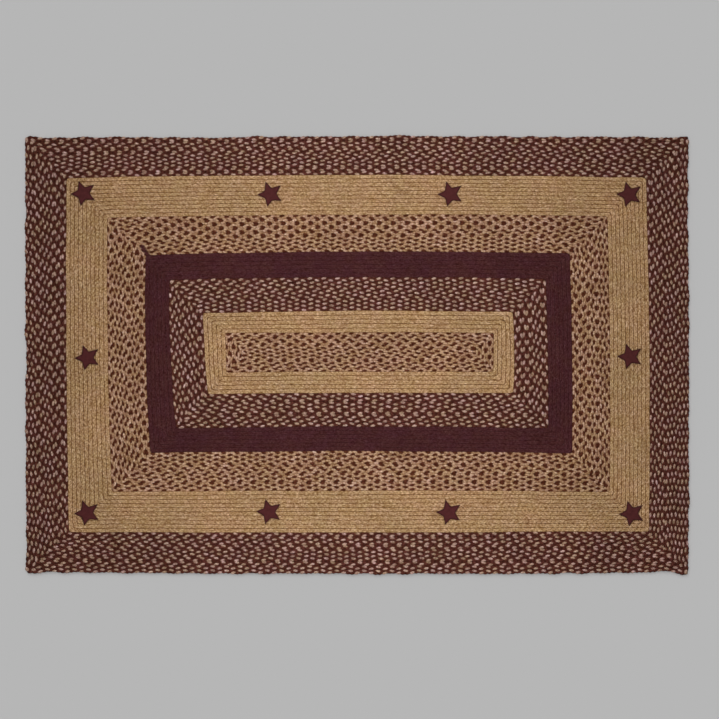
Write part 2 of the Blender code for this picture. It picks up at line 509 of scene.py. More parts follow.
        # Relief: part of the plait's own height sharpens the mesh, and the yarns stand on it.
        height = add("Math", {0: top, 1: self.plait_relief}, operation="MULTIPLY")
        for detail, size in ((ridge, self.yarn_relief_mm), (plies, self.ply_relief_mm)):
            height = add("Math", {0: detail, 1: size, 2: height}, operation="MULTIPLY_ADD")
        bump = add("Bump", {"Strength": 1.0, "Distance": MM, "Height": height})

        return sheet.surface(
            {
                "Base Color": shaded,
                "Roughness": self.roughness,
                "Specular IOR Level": self.specular,
                "Normal": bump,
            }
        )


@dataclass(frozen=True)
class WoolFelt:
    """Pressed wool felt: no weave, short matted fibres and a soft cut edge.

    The eye gets an even, light-drinking surface with fine mottling, and a
    painted shade along the edge, where the stitches press it down.
    """

    name: str = "wool_felt_burgundy"
    middle: str = "#552929"
    # Painted shade along the cut edge and the stitches, where the felt is pressed down.
    edge: str = "#3F1D1E"
    mottle_mm: float = 9.0
    fibre_mm: float = 0.7
    relief_mm: float = 0.12
    edge_mm: tuple[float, float] = (0.5, 4.0)  # from the cut: the full painted shade of the edge, and where it ends
    fibre_spread: float = 0.22
    mottle_spread: float = 0.12
    noise_range: tuple[float, float] = (0.3, 0.7)
    roughness: float = 0.98
    specular: float = 0.1

    def material(self) -> bpy.types.Material:
        """Lay out the felt's nodes.

        Returns:
            The material, which reads Object coordinates and the piece's "Inset" attribute.
        """
        sheet = NodeSheet.named(self.name)
        add = sheet.add
        where = add("TexCoord", output="Object")
        fibres = add(
            "TexNoise",
            {"Vector": where, "Scale": 1 / (self.fibre_mm * MM), "Detail": 3.0, "Distortion": 1.2},
        )
        mottle = add("TexNoise", {"Vector": where, "Scale": 1 / (self.mottle_mm * MM), "Detail": 2.0})
        inset = add("Attribute", output="Fac", attribute_name=FeltStar.INSET)
        pressed, loose = self.edge_mm
        inward = add(
            "MapRange", {0: inset, 1: pressed * MM, 2: loose * MM}, interpolation_type="SMOOTHSTEP"
        )
        # Painted shade: darker toward the cut edge and over the stitches.
        felt = add("Mix", {0: inward, 6: linear(self.edge), 7: linear(self.middle)}, 2, data_type="RGBA")
        low, high = self.noise_range
        shades = [
            add("MapRange", {0: noise, 1: low, 2: high, 3: 1 - spread, 4: 1 + spread})
            for noise, spread in ((fibres, self.fibre_spread), (mottle, self.mottle_spread))
        ]
        shade = add("Math", {0: shades[0], 1: shades[1]}, operation="MULTIPLY")
        shaded = add("VectorMath", {0: felt, "Scale": shade}, operation="SCALE")
        height = add("Math", {0: fibres, 1: self.relief_mm}, operation="MULTIPLY")
        bump = add("Bump", {"Strength": 1.0, "Distance": MM, "Height": height})
        return sheet.surface(
            {
                "Base Color": shaded,
                "Roughness": self.roughness,
                "Specular IOR Level": self.specular,
                "Normal": bump,
            }
        )


@dataclass(frozen=True)
class SewingThread:
    """Spun polyester sewing thread, twisted from plies: a faint painted shine and shade on each turn of the
    twist.
    """

    name: str = "sewing_thread_burgundy"
    colour: str = "#3A1A1C"
    twist_mm: float = 0.6
    painted_twist_shine_and_shade: tuple[float, float] = (0.75, 1.15)
    twist_relief_mm: float = 0.1
    roughness: float = 0.6

    def material(self) -> bpy.types.Material:
        """Lay out the thread's nodes.

        Returns:
            The material, which reads Object coordinates.
        """
        sheet = NodeSheet.named(self.name)
        add = sheet.add
        where = add("TexCoord", output="Object")
        plies = add(
            "TexWave",
            {"Vector": where, "Scale": 1 / (self.twist_mm * MM) / FULL_TURN, "Distortion": 0.5},
            "Fac",
            bands_direction="DIAGONAL",
        )
        # Painted shine and shade: the colour goes lighter and darker along each turn of the twist.
        dark, light = self.painted_twist_shine_and_shade
        shade = add("MapRange", {0: plies, 3: dark, 4: light})
        shaded = add("VectorMath", {0: linear(self.colour)[:3], "Scale": shade}, operation="SCALE")
        bump = add(
            "Bump", {"Strength": 0.5, "Distance": self.twist_relief_mm * MM, "Height": plies}
        )
        return sheet.surface({"Base Color": shaded, "Roughness": self.roughness, "Normal": bump})


class Line(NamedTuple):
    """A line between two bands: its four corners, and how far each side bows out, in mm.

    The corners are top left, top right, bottom right and bottom left, as seen
    from above with +Y up.
    """

    tl_x: float
    tl_y: float
    tr_x: float
    tr_y: float
    br_x: float
    br_y: float
    bl_x: float
    bl_y: float
    bow_top: float
    bow_right: float
    bow_bottom: float
    bow_left: float

    def corners(self) -> np.ndarray:
        """The corners in metres, clockwise from the top left one."""
        return np.array(self[:-SIDES]).reshape(SIDES, 2) * MM

    def bows(self) -> np.ndarray:
        """How far each side bows out in metres: top, right, bottom and left."""
        return np.array(self[-SIDES:]) * MM

    def middle(self) -> np.ndarray:
        """Find the middle of the box round the line.

        Returns:
            X and Y in metres.
        """
        corners, (top, right, bottom, left) = self.corners(), self.bows()
        halfway = (corners + np.roll(corners, -1, axis=0)) / 2
        bowed = halfway + np.array([(0, top), (right, 0), (0, -bottom), (-left, 0)])
        reach = np.concatenate([corners, bowed])
        return (reach.min(axis=0) + reach.max(axis=0)) / 2

    def toward(self, other: "Line", share: float) -> "Line":
        """The line that lies a share of the way from this one to another."""
        return Line(*(a + (b - a) * share for a, b in zip(self, other)))


@dataclass(frozen=True)
class Round:
    """One round of braid, laid between an outer and an inner line.

    It runs clockwise from the top left corner, seen from above. Places along
    it are measured on the line midway between its edges.
    """

    outer: Line
    inner: Line
    mitre: float = 12.0 * MM  # from a corner to where the braid starts to fan out round it
    corner_pull: float = 1.8 * MM  # how far a corner is drawn in from its sharp point
    corner_reach: float = 10.0 * MM  # along each side, from the corner, that is drawn in

    @cached_property
    def levels(self) -> tuple[np.ndarray, ...]:
        """Corners of the outer, the middle and the inner line."""
        middle = self.outer.toward(self.inner, 0.5)
        return tuple(line.corners() for line in (self.outer, middle, self.inner))

    @staticmethod
    def side_lengths(corners: np.ndarray) -> np.ndarray:
        """Lengths of the four sides, from the top one clockwise."""
        return np.linalg.norm(np.roll(corners, -1, axis=0) - corners, axis=1)

    @property
    def length(self) -> float:
        """Length of the round along its middle."""
        return float(self.side_lengths(self.levels[1]).sum())

    @property
    def width(self) -> float:
        """Width of the braid halfway along its top side."""
        return float(self.levels[0][0, 1] - self.levels[2][0, 1])

    def place(self, along: np.ndarray, across: np.ndarray) -> np.ndarray:
        """Find spots on the round.

        Args:
            along: Distances along the middle line, in metres, from 0 to the length.
            across: From -1 at the inner edge to 1 at the outer edge.

        Returns:
            X and Y in metres, in a last axis of two.
        """
        sides = [self.side_lengths(corners) for corners in self.levels]
        starts = np.concatenate([[0.0], np.cumsum(sides[1])])
        side = np.clip(np.searchsorted(starts, along, side="right") - 1, 0, SIDES - 1)
        run = sides[1][side]
        forward = along - starts[side]
        reach = np.minimum(self.mitre, run / 2)
        fan_in = np.clip(1 - forward / reach, 0, 1)
        fan_out = np.clip(1 - (run - forward) / reach, 0, 1)
        spots, distances = [], []
        for level, line in ((0, self.outer), (2, self.inner)):
            extra = (sides[level][side] - run) / 2
            distance = forward + extra * (1 - fan_in + fan_out)
            spots.append(self._on_side(self.levels[level], line.bows(), side, distance))
            distances.append((distance, sides[level][side]))
        share = ((across + 1) / 2)[..., None]
        spot = spots[1] + (spots[0] - spots[1]) * share
        (outer_at, outer_run), (inner_at, inner_run) = distances
        at = inner_at + (outer_at - inner_at) * share[..., 0]
        level_run = inner_run + (outer_run - inner_run) * share[..., 0]
        return spot + self._corner_shift(side, at, level_run)

    def _on_side(
        self, corners: np.ndarray, bows: np.ndarray, side: np.ndarray, distance: np.ndarray
    ) -> np.ndarray:
        """Spots at given distances along the bowed sides of one line.

        Args:
            corners: The line's corners.
            bows: How far each of its sides bows out.
            side: The number of the side that each spot is on.
            distance: How far along that side it is.

        Returns:
            X and Y of each spot.
        """
        step = np.roll(corners, -1, axis=0) - corners
        run = np.linalg.norm(step, axis=1)
        share = distance / np.maximum(run[side], MM)
        heading = self._headings()[side]
        outward = np.stack([-heading[..., 1], heading[..., 0]], axis=-1)
        bow = bows[side] * (1 - (2 * share - 1) ** 2)
        return corners[side] + step[side] * share[..., None] + outward * bow[..., None]

    def _headings(self) -> np.ndarray:
        """Find which way the round runs on each side.

        Returns:
            A unit vector in X and Y for each side of the middle line.
        """
        corners = self.levels[1]
        step = np.roll(corners, -1, axis=0) - corners
        return step / np.linalg.norm(step, axis=1, keepdims=True)

    def _corner_shift(self, side: np.ndarray, at: np.ndarray, run: np.ndarray) -> np.ndarray:
        """How far spots near a corner are drawn in, which rounds it.

        Args:
            side: The number of the side that each spot is on.
            at: How far it is along that side, on its own level.
            run: The side's length on that level.

        Returns:
            A shift in X and Y for each spot.
        """
        heading = self._headings()[side]
        outward = np.stack([-heading[..., 1], heading[..., 0]], axis=-1)
        whole_from = 4 * self.corner_reach  # shorter sides have less pull
        pull = self.corner_pull * np.minimum(1.0, run / whole_from)
        from_start = pull * np.clip(1 - at / self.corner_reach, 0, 1) ** 2
        from_end = pull * np.clip(1 - (run - at) / self.corner_reach, 0, 1) ** 2
        return (heading - outward) * from_start[..., None] - (heading + outward) * from_end[..., None]


class Tug(NamedTuple):
    """A spot where the laid rug is pulled out of line: its place, its shift and its reach, in mm."""

    x: float
    y: float
    shift_x: float
    shift_y: float
    reach: float


@dataclass(frozen=True)
class Lie:
    """How the laid rounds wander from their lines.

    Attributes:
        middle: The middle of the rug's outline, in the lines' own metres.
        seed: Picks the wander.
        waves: How many slow waves it is made of.
        size: Each wave's height in metres.
        shortest: The shortest wave's length in metres.
        longest: The longest wave's length in metres.
        tugs: The corners and stretches of the edge that are pulled out of line.
    """

    middle: np.ndarray
    tugs: tuple[Tug, ...]
    seed: int = 21
    waves: int = 9
    size: float = 0.32 * MM
    shortest: float = 0.06
    longest: float = 0.35

    def shift(self, spots: np.ndarray) -> np.ndarray:
        """Move spots with the rug.

        Args:
            spots: X and Y in metres, in a last axis of two, as the lines have them.

        Returns:
            The moved spots, from the rug's own middle.
        """
        random = np.random.default_rng(self.seed)
        moved = spots.copy()
        for _ in range(self.waves):
            wave = FULL_TURN / random.uniform(self.shortest, self.longest)
            way, aim = random.uniform(0, FULL_TURN, 2)
            start = random.uniform(0, FULL_TURN)
            ridge = np.sin(wave * (spots[..., 0] * math.cos(way) + spots[..., 1] * math.sin(way)) + start)
            moved += self.size * ridge[..., None] * np.array([math.cos(aim), math.sin(aim)])
        for tug in self.tugs:
            away = np.linalg.norm(spots - np.array([tug.x, tug.y]) * MM, axis=-1)
            pull = np.exp(-((away / (tug.reach * MM)) ** 2))
            moved += pull[..., None] * np.array([tug.shift_x, tug.shift_y]) * MM
        return moved - self.middle


@dataclass(frozen=True)
class Tuck:
    """A strand of the next band that is tucked in along the mitre at a corner, in mm."""

    start: tuple[float, float]
    end: tuple[float, float]
    half_width: float
    blur: float

    def cover(self, spots: np.ndarray) -> np.ndarray:
        """How far the strand covers each spot.

        Args:
            spots: X and Y in metres, in a last axis of two.

        Returns:
            From 0, beside the strand, to 1, on it.
        """
        start, end = (np.array(p) * MM for p in (self.start, self.end))
        step = end - start
        share = np.clip(((spots - start) @ step) / (step @ step), 0, 1)
        away = np.linalg.norm(spots - start - share[..., None] * step, axis=-1) / MM
        return np.clip((self.half_width + self.blur - away) / self.blur, 0, 1)


class Seams(NamedTuple):
    """How the lobes of a band's rounds meet over its seams, side by side.

    Each seam, from the outside in, has a pair: how far along the lobes inside
    it lie from those outside it, in tenths of a repeat, where the side starts
    and where it ends. At 0 they face one another and make round dots, and at 5
    each falls between two.
    """

    top: tuple[tuple[int, int], ...]
    right: tuple[tuple[int, int], ...]
    bottom: tuple[tuple[int, int], ...]
    left: tuple[tuple[int, int], ...]


@dataclass(frozen=True)
class Lacing:
    """How the plait of each round falls against the round that it is laced to.

    Attributes:
        seed: Picks the matches that no Seams give, and a little drift.
        drift: How much the match varies along a side, in repeats.
        knot_reach: From a corner to where the match is settled, in metres.
        knot_gap: Between two settled places on a long side, in metres.
    """

    AXES = ((1, 0), (0, -1), (-1, 0), (0, 1))  # the way that the braid runs on each side
    SEAM_UNITS = 10  # of Seams in a repeat

    seed: int = 8
    drift: float = 0.02
    knot_reach: float = 0.12
    knot_gap: float = 0.3

    def phases(self, rounds: int, first: int, seams: Seams | None) -> np.ndarray:
        """Settle the plait's phase at both ends of each side of a band's rounds.

        Args:
            rounds: How many rounds the band has.
            first: Its first round's count from the rug's edge.
            seams: How its rounds meet, where that shows.

        Returns:
            The phase in repeats for each round, side and end of the side.
        """
        random = np.random.default_rng((self.seed, first))
        offsets = random.uniform(0, 1, (rounds, SIDES, 1)) + np.zeros(2)
        if seams is not None:
            offsets[1:] = np.array(seams).transpose(1, 0, 2) / self.SEAM_UNITS
        # The lobes of a round's inner edge lie half a repeat behind those of its outer edge.
        return np.cumsum(-0.5 - offsets, axis=0)

    def knots(self, braid: Round, number: int, phases: np.ndarray) -> tuple[np.ndarray, np.ndarray]:
        """Find places along a round where its plait's phase is settled.

        Args:
            braid: Where the round lies.
            number: Its count from the rug's edge.
            phases: The phase at both ends of each of its sides.

        Returns:
            Metres along the round, and the repeats there, both from the first
            knot to the same knot one round later.
        """
        random = np.random.default_rng((self.seed, number))
        repeat = PLAIT.repeat_mm * MM
        corners = braid.levels[1]
        sides = braid.side_lengths(corners)
        metres: list[float] = []
        repeats: list[float] = []
        travelled = 0.0
        for side, run in enumerate(sides):
            reach = min(self.knot_reach, run / 2)
            count = 1 + math.ceil((run - 2 * reach) / self.knot_gap)
            base = float(corners[side] @ np.array(self.AXES[side]))
            stops = np.linspace(reach, run - reach, count) if run > repeat else ()
            for forward in stops:
                phase = np.interp(forward / run, (0, 1), phases[side]) + random.normal(0, self.drift)
                wanted = (base + forward) / repeat + phase
                if metres:
                    expected = repeats[-1] + (travelled + forward - metres[-1]) / repeat
                    wanted += round(expected - wanted)
                metres.append(travelled + forward)
                repeats.append(wanted)
            travelled += run
        expected = (metres[0] + travelled - metres[-1]) / repeat + repeats[-1]
        return (
            np.array([*metres, metres[0] + travelled]),
            np.array([*repeats, repeats[0] + round(expected - repeats[0])]),
        )


class Rim(Enum):
    """What a round's outer edge meets."""

    NEIGHBOUR = "the round outside it"
    FLOOR = "nothing: it is the rug's edge"


class FaceCorners(NamedTuple):
    """The corners of a round's faces, each by its place in the round's grid.

    Attributes:
        part: BraidMesh.TOP or BraidMesh.UNDER.
        column: The corner's column, which runs on past the last one to close the ring.
        lane: Its lane.
        repeat: The repeat that its face is in.
        below: 1 where its face is one of the underside's, and 0 on the top.
    """

    part: np.ndarray
    column: np.ndarray
    lane: np.ndarray
    repeat: np.ndarray
    below: np.ndarray


@dataclass
class BraidMesh:
    """The closed mesh of a few rounds of braid, built up one round at a time.

    A repeat of the plait has a grid of columns along and lanes across, whose
    columns follow the creases between the lobes. The underside is flat, with
    fewer columns.
    """

    # Across a round, whose inner edge is at -1 and whose outer one is at 1. Neighbours overlap.
    LANES = (-1.03, -0.74, -0.36, 0.0, 0.36, 0.74, 1.03)
    UNDER_LANES = (-0.45, 0.45)
    UNDER_COLUMNS = PLAIT.strands  # along a repeat, one for each lobe of an edge
    LOBE_COLUMNS = 4  # along a lobe, on top
    COLUMNS = UNDER_COLUMNS * LOBE_COLUMNS
    # A lobe's columns at the edge, and which of two columns of the underside each is closed to.
    FANS = ((0, 0), (1, 0), (2, 1), (3, 1))
    TOP, UNDER = 0, 1
    # Rows of a bake cell: the top's lanes fill it up to here, then the underside's four rows.
    TOP_ROWS = 0.72
    UNDER_ROWS = (0.74, 0.80, 0.92, 0.98)
    CELL_SHAPE = 2.1  # a repeat is laid out this many times as long as wide

    middle_height: float = 4.9 * MM
    underside: float = 0.2 * MM
    lowest_edge_mm: float = 1.9  # the edge stays above this height from the middle
    lobe_spread: float = 0.06  # how much higher or lower whole lobes are
    rim_scallop: float = 0.15  # how far the lobes make the rug's edge go in and out
    seam_scallop: float = 0.05  # the same where a round meets the next one
    rim_wander: float = 0.1  # height of each slow wave of the rug's edge
    rim_wave_count: int = 8
    rim_waves: tuple[int, int] = (45, 110)  # the fewest and the most waves round the rug
    seed: int = 5

    spots: list[np.ndarray] = field(default_factory=list)
    loops: list[np.ndarray] = field(default_factory=list)
    sizes: list[np.ndarray] = field(default_factory=list)
    plait_uvs: list[np.ndarray] = field(default_factory=list)
    cells: list[np.ndarray] = field(default_factory=list)
    vertex_count: int = 0
    repeat_count: int = 0

    @cached_property
    def leads(self) -> np.ndarray:
        """How far each lane's columns run ahead to stay on the creases, in repeats."""
        return np.array([PLAIT.crease(abs(lane)) for lane in self.LANES])

    def add_round(
        self, braid: Round, number: int, rim: Rim, lie: Lie, knots: tuple[np.ndarray, np.ndarray]
    ) -> None:
        """Plait one round.

        Args:
            braid: Where it lies.
            number: Its count from the rug's edge, which seeds its own draws.
            rim: What its outer edge meets.
            lie: How the rug lies.
            knots: Metres along it and the repeats there, over one whole round.
        """
        random = np.random.default_rng((self.seed, number))
        repeats = round(knots[1][-1] - knots[1][0])
        columns, lanes = repeats * self.COLUMNS, len(self.LANES)
        under_columns = repeats * self.UNDER_COLUMNS
        column = np.arange(columns)[:, None]
        top_repeats = column / self.COLUMNS + self.leads
        under_repeats = np.repeat(np.arange(under_columns)[:, None] / self.UNDER_COLUMNS, 2, axis=1)
        top_across = np.repeat(np.array(self.LANES)[None, :], columns, axis=0)
        bulge = -np.cos(FULL_TURN * column[:, 0] / self.LOBE_COLUMNS)
        if rim is Rim.FLOOR:
            top_across[:, -1] += self.rim_scallop * bulge + self._wander(random, columns)
        else:
            top_across[:, -1] += self.seam_scallop * bulge
        top_across[:, 0] += self.seam_scallop * bulge
        under_across = np.repeat(np.array(self.UNDER_LANES)[None, :], under_columns, axis=0)

        top = lie.shift(braid.place(self._metres(top_repeats, knots, braid), top_across))
        under = lie.shift(braid.place(self._metres(under_repeats, knots, braid), under_across))
        rise = np.maximum(PLAIT.rise_mm(top_repeats, np.array(self.LANES)), self.lowest_edge_mm)
        rise = rise * self._lobe_heights(random, columns)
        top_height = self.middle_height + rise[..., None] * MM
        under_height = np.full((under_columns, 2, 1), self.underside)
        self.spots.append(np.concatenate([top, top_height], axis=-1).reshape(-1, 3))
        self.spots.append(np.concatenate([under, under_height], axis=-1).reshape(-1, 3))

        corners, sizes = self._corners(repeats)
        top_index = self.vertex_count + (corners.column % columns) * lanes + corners.lane
        under_start = self.vertex_count + columns * lanes
        under_index = under_start + (corners.column % under_columns) * 2 + corners.lane
        self.loops.append(np.where(corners.part == self.TOP, top_index, under_index))
        self.sizes.append(sizes)
        self.plait_uvs.append(self._plait_uv(corners, number))
        self.cells.append(self._cell_spots(corners))
        self.vertex_count += columns * lanes + under_columns * 2
        self.repeat_count += repeats

    @staticmethod
    def _metres(repeats: np.ndarray, knots: tuple[np.ndarray, np.ndarray], braid: Round) -> np.ndarray:
        """Find how far along a round given repeats lie.

        Args:
            repeats: Places in repeats, from 0 for a whole one near the first knot.
            knots: Metres along the round and the repeats there, over one whole round.
            braid: Where the round lies.

        Returns:
            Metres along the round, from 0 to its length.
        """
        metres, counts = knots
        around = counts[-1] - counts[0]
        at = math.ceil(counts[0]) + repeats
        before = (metres[:-1] - braid.length, counts[:-1] - around)
        after = (metres[1:] + braid.length, counts[1:] + around)
        all_counts = np.concatenate([before[1], counts, after[1]])
        all_metres = np.concatenate([before[0], metres, after[0]])
        return np.interp(at, all_counts, all_metres) % braid.length

    def _wander(self, random: np.random.Generator, columns: int) -> np.ndarray:
        """How far the rug's edge wanders out at each column, for nothing holds it there.

        Args:
            random: The round's own draws.
            columns: How many columns the round has.

        Returns:
            The shift for each column, in half widths of the braid.
        """
        turn = FULL_TURN * np.arange(columns) / columns
        cycles = random.integers(*self.rim_waves, self.rim_wave_count)
        waves = [np.sin(count * turn + random.uniform(0, FULL_TURN)) for count in cycles]
        return self.rim_wander * sum(waves)

    def _lobe_heights(self, random: np.random.Generator, columns: int) -> np.ndarray:
        """A factor on the height of each lobe.

        Args:
            random: The round's own draws.
            columns: How many columns the round has.

        Returns:
            The factor for each column and lane.
        """
        lobes = columns // self.LOBE_COLUMNS
        outer, inner = random.normal(1.0, self.lobe_spread, (2, lobes))
        column = np.arange(columns)
        outer_factor = outer[column // self.LOBE_COLUMNS]
        stagger = self.LOBE_COLUMNS // 2
        inner_factor = inner[((column - stagger) // self.LOBE_COLUMNS) % lobes]
        both = (outer_factor + inner_factor) / 2
        middle = len(self.LANES) // 2
        return np.stack([inner_factor] * middle + [both] + [outer_factor] * middle, axis=1)

    def _corners(self, repeats: int) -> tuple[FaceCorners, np.ndarray]:
        """List the face corners of one round.

        Args:
            repeats: How many repeats it has.

        Returns:
            The corners, face after face, and how many each face has.
        """
        column = np.arange(repeats * self.COLUMNS)
        after = column + 1
        quads = [
            [(self.TOP, c, lane) for c, lane in ((column, k), (after, k), (after, k + 1), (column, k + 1))]
            for k in range(len(self.LANES) - 1)
        ]
        step = np.arange(repeats * self.UNDER_COLUMNS)
        first = step * self.LOBE_COLUMNS
        halfway = first + self.LOBE_COLUMNS // 2
        inner, outer = 0, len(self.LANES) - 1
        below = []
        for edge, lane, flip in ((outer, 1, 1), (inner, 0, -1)):
            for near, far in self.FANS:
                fan = [(self.TOP, first + near, edge), (self.TOP, first + near + 1, edge)]
                below.append([*fan[::flip], (self.UNDER, step + far, lane)])
            gap = [(self.UNDER, step + 1, lane), (self.UNDER, step, lane)]
            below.append([(self.TOP, halfway, edge), *gap[::flip]])
        flat = ((step, 1), (step + 1, 1), (step + 1, 0), (step, 0))
        below.append([(self.UNDER, at, lane) for at, lane in flat])
        rows, sizes = [], []
        for faces, per_repeat, is_below in ((quads, self.COLUMNS, 0), (below, self.UNDER_COLUMNS, 1)):
            home = np.arange(repeats * per_repeat) // per_repeat
            for face in faces:
                filled = [
                    np.stack(np.broadcast_arrays(part, at, lane, home, is_below), axis=1)
                    for part, at, lane in face
                ]
                rows.append(np.stack(filled, axis=1).reshape(-1, len(FaceCorners._fields)))
                sizes.append(np.full(len(home), len(face)))
        return FaceCorners(*np.concatenate(rows).T), np.concatenate(sizes)

    def _plait_uv(self, corners: FaceCorners, number: int) -> np.ndarray:
        """Coordinates that the braid's pattern follows.

        Args:
            corners: The round's face corners.
            number: The round's count from the rug's edge.

        Returns:
            A pair for each face corner. The underside runs backwards, turned so
            that each strand's colour meets itself at both edges.
        """
        on_top = corners.part == self.TOP
        top_at = corners.column / self.COLUMNS + self.leads[np.where(on_top, corners.lane, 0)]
        along = np.where(on_top, top_at, corners.column / self.UNDER_COLUMNS)
        turned = 2 * self.leads[-1] + 1 / PLAIT.strands - along
        under_across = np.array(self.UNDER_LANES)[np.minimum(corners.lane, 1)]
        across = np.where(on_top, np.array(self.LANES)[corners.lane], under_across)
        return np.stack([np.where(corners.below, turned, along), ROUND_STEP * number + across], axis=1)

    def _cell_spots(self, corners: FaceCorners) -> np.ndarray:
        """Where each face corner lies in its repeat's cell of the bake layout.

        Args:
            corners: The round's face corners.

        Returns:
            The cell's number, and the place along and up it from 0 to 1.
        """
        per_repeat = np.where(corners.part == self.TOP, self.COLUMNS, self.UNDER_COLUMNS)
        along = corners.column / per_repeat - corners.repeat
        edge_low, lane_low, lane_high, edge_high = self.UNDER_ROWS
        under_up = np.where(
            corners.part == self.UNDER,
            np.where(corners.lane == 0, lane_low, lane_high),
            np.where(corners.lane == 0, edge_low, edge_high),
        )
        top_up = self.TOP_ROWS * corners.lane / (len(self.LANES) - 1)
        up = np.where(corners.below, under_up, top_up)
        return np.stack([self.repeat_count + corners.repeat, along, up], axis=1)

    def make(self, name: str, tuck: Tuck | None, lines_middle: np.ndarray) -> bpy.types.Object:
        """Turn what was plaited into a piece.

        Args:
            name: The piece's name.
            tuck: A strand tucked in over it, where there is one.
            lines_middle: The rug's middle in the lines' own metres, as the tuck has them.

        Returns:
            The new object, smoothly shaded.
        """
        spots, loops, sizes = (np.concatenate(rows) for rows in (self.spots, self.loops, self.sizes))
        mesh = bpy.data.meshes.new(name)
        mesh.vertices.add(len(spots))
        mesh.loops.add(len(loops))
        mesh.polygons.add(len(sizes))
        mesh.vertices.foreach_set("co", spots.astype(np.float32).ravel())
        mesh.loops.foreach_set("vertex_index", loops.astype(np.int32))
        mesh.polygons.foreach_set("loop_start", (np.cumsum(sizes) - sizes).astype(np.int32))
        mesh.update(calc_edges=True)
        mesh.shade_smooth()

        plait_uv = mesh.uv_layers.new(name=PLAIT_UV)
        plait_uv.uv.foreach_set("vector", np.concatenate(self.plait_uvs).astype(np.float32).ravel())
        bake_uv = mesh.uv_layers.new(name=BAKE_UV)
        bake_uv.uv.foreach_set("vector", self._bake_layout().astype(np.float32).ravel())
        if tuck is not None:
            splice = mesh.attributes.new(SPLICE, "FLOAT", "POINT")
            splice.data.foreach_set("value", tuck.cover(spots[:, :2] + lines_middle).astype(np.float32))
        braid = bpy.data.objects.new(name, mesh)
        bpy.context.scene.collection.objects.link(braid)
        return braid

    def _bake_layout(self) -> np.ndarray:
        """Lay the repeats' cells out in rows over the unit square.

        Returns:
            A pair for each face corner.
        """
        cell, along, up = np.concatenate(self.cells).T
        in_a_row = max(1, round(math.sqrt(self.repeat_count / self.CELL_SHAPE)))
        rows = math.ceil(self.repeat_count / in_a_row)
        row, place = np.divmod(cell, in_a_row)
        return np.stack([(place + along) / in_a_row, (row + up) / rows], axis=1)


@dataclass
class BraidBand:
    """A band of like braid, made in lengths of a few rounds each.

    Attributes:
        node: The CAD node that it stands for.
        slot: The record's material slot; not used.
        lengths: How many rounds each length has, from the outside in.
        outer: The line that the band starts from.
        finish: How its yarn looks.
        seams: How its rounds meet, where two colours show it.
        tuck: A strand of the next band that lies over it, where there is one.
        first_pull: How far its outermost round's corners are drawn in.
        first_reach: How much of each side that takes.
    """

    node: str
    slot: str
    lengths: tuple[int, ...]
    outer: Line
    finish: JuteBraid
    seams: Seams | None = None
    tuck: Tuck | None = None
    first_pull: float = Round.corner_pull
    first_reach: float = Round.corner_reach

    @property
    def round_count(self) -> int:
        """How many rounds the band has."""
        return sum(self.lengths)

    def rounds(self, inner: Line) -> list[Round]:
        """Lay out the band's rounds.

        Args:
            inner: The line that the band ends at.

        Returns:
            The rounds, from the outside in.
        """
        edges = [self.outer.toward(inner, k / self.round_count) for k in range(self.round_count + 1)]
        rounds = [Round(outer, inner) for outer, inner in zip(edges, edges[1:])]
        rounds[0] = replace(rounds[0], corner_pull=self.first_pull, corner_reach=self.first_reach)
        return rounds

    def build(
        self, inner: Line, first: int, lie: Lie, lacing: Lacing, material: bpy.types.Material
    ) -> list[str]:
        """Plait and dress the band's lengths.

        Args:
            inner: The line that the band ends at.
            first: Its first round's count from the rug's edge.
            lie: How the rug lies.
            lacing: How its rounds' plaits face one another.
            material: The band's finish as a material.

        Returns:
            The names of the pieces.
        """
        rounds = self.rounds(inner)
        phases = lacing.phases(self.round_count, first, self.seams)
        names: list[str] = []
        done = 0
        for part, count in enumerate(self.lengths, start=1):
            laid = rounds[done : done + count]
            mesh = BraidMesh()
            for k, braid in enumerate(laid, start=done):
                number = first + k
                rim = Rim.NEIGHBOUR if number else Rim.FLOOR
                mesh.add_round(braid, number, rim, lie, lacing.knots(braid, number, phases[k]))
            piece = mesh.make(f"{self.node}_braid_{part}", self.tuck, lie.middle)
            piece.data.materials.append(material)
            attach(piece, BODY)
            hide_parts(self.node)
            width = sum(braid.width for braid in laid)
            length = sum(braid.length for braid in laid) / count
            log.info("%s: %d rounds, %.3f m by %.2f m", piece.name, count, width, length)
            names.append(piece.name)
            done += count
        return names


def number_by_place(template: bpy.types.Object) -> None:
    """Number a shape's vertices and faces by their places, so that each run numbers them alike.

    Args:
        template: The shape, in edit mode.
    """
    bm = bmesh.from_edit_mesh(template.data)
    bm.verts.sort(key=lambda v: float(np.dot(v.co, SLANT)))
    bm.faces.sort(key=lambda f: float(np.dot(f.calc_center_median(), SLANT)))
    bmesh.update_edit_mesh(template.data)


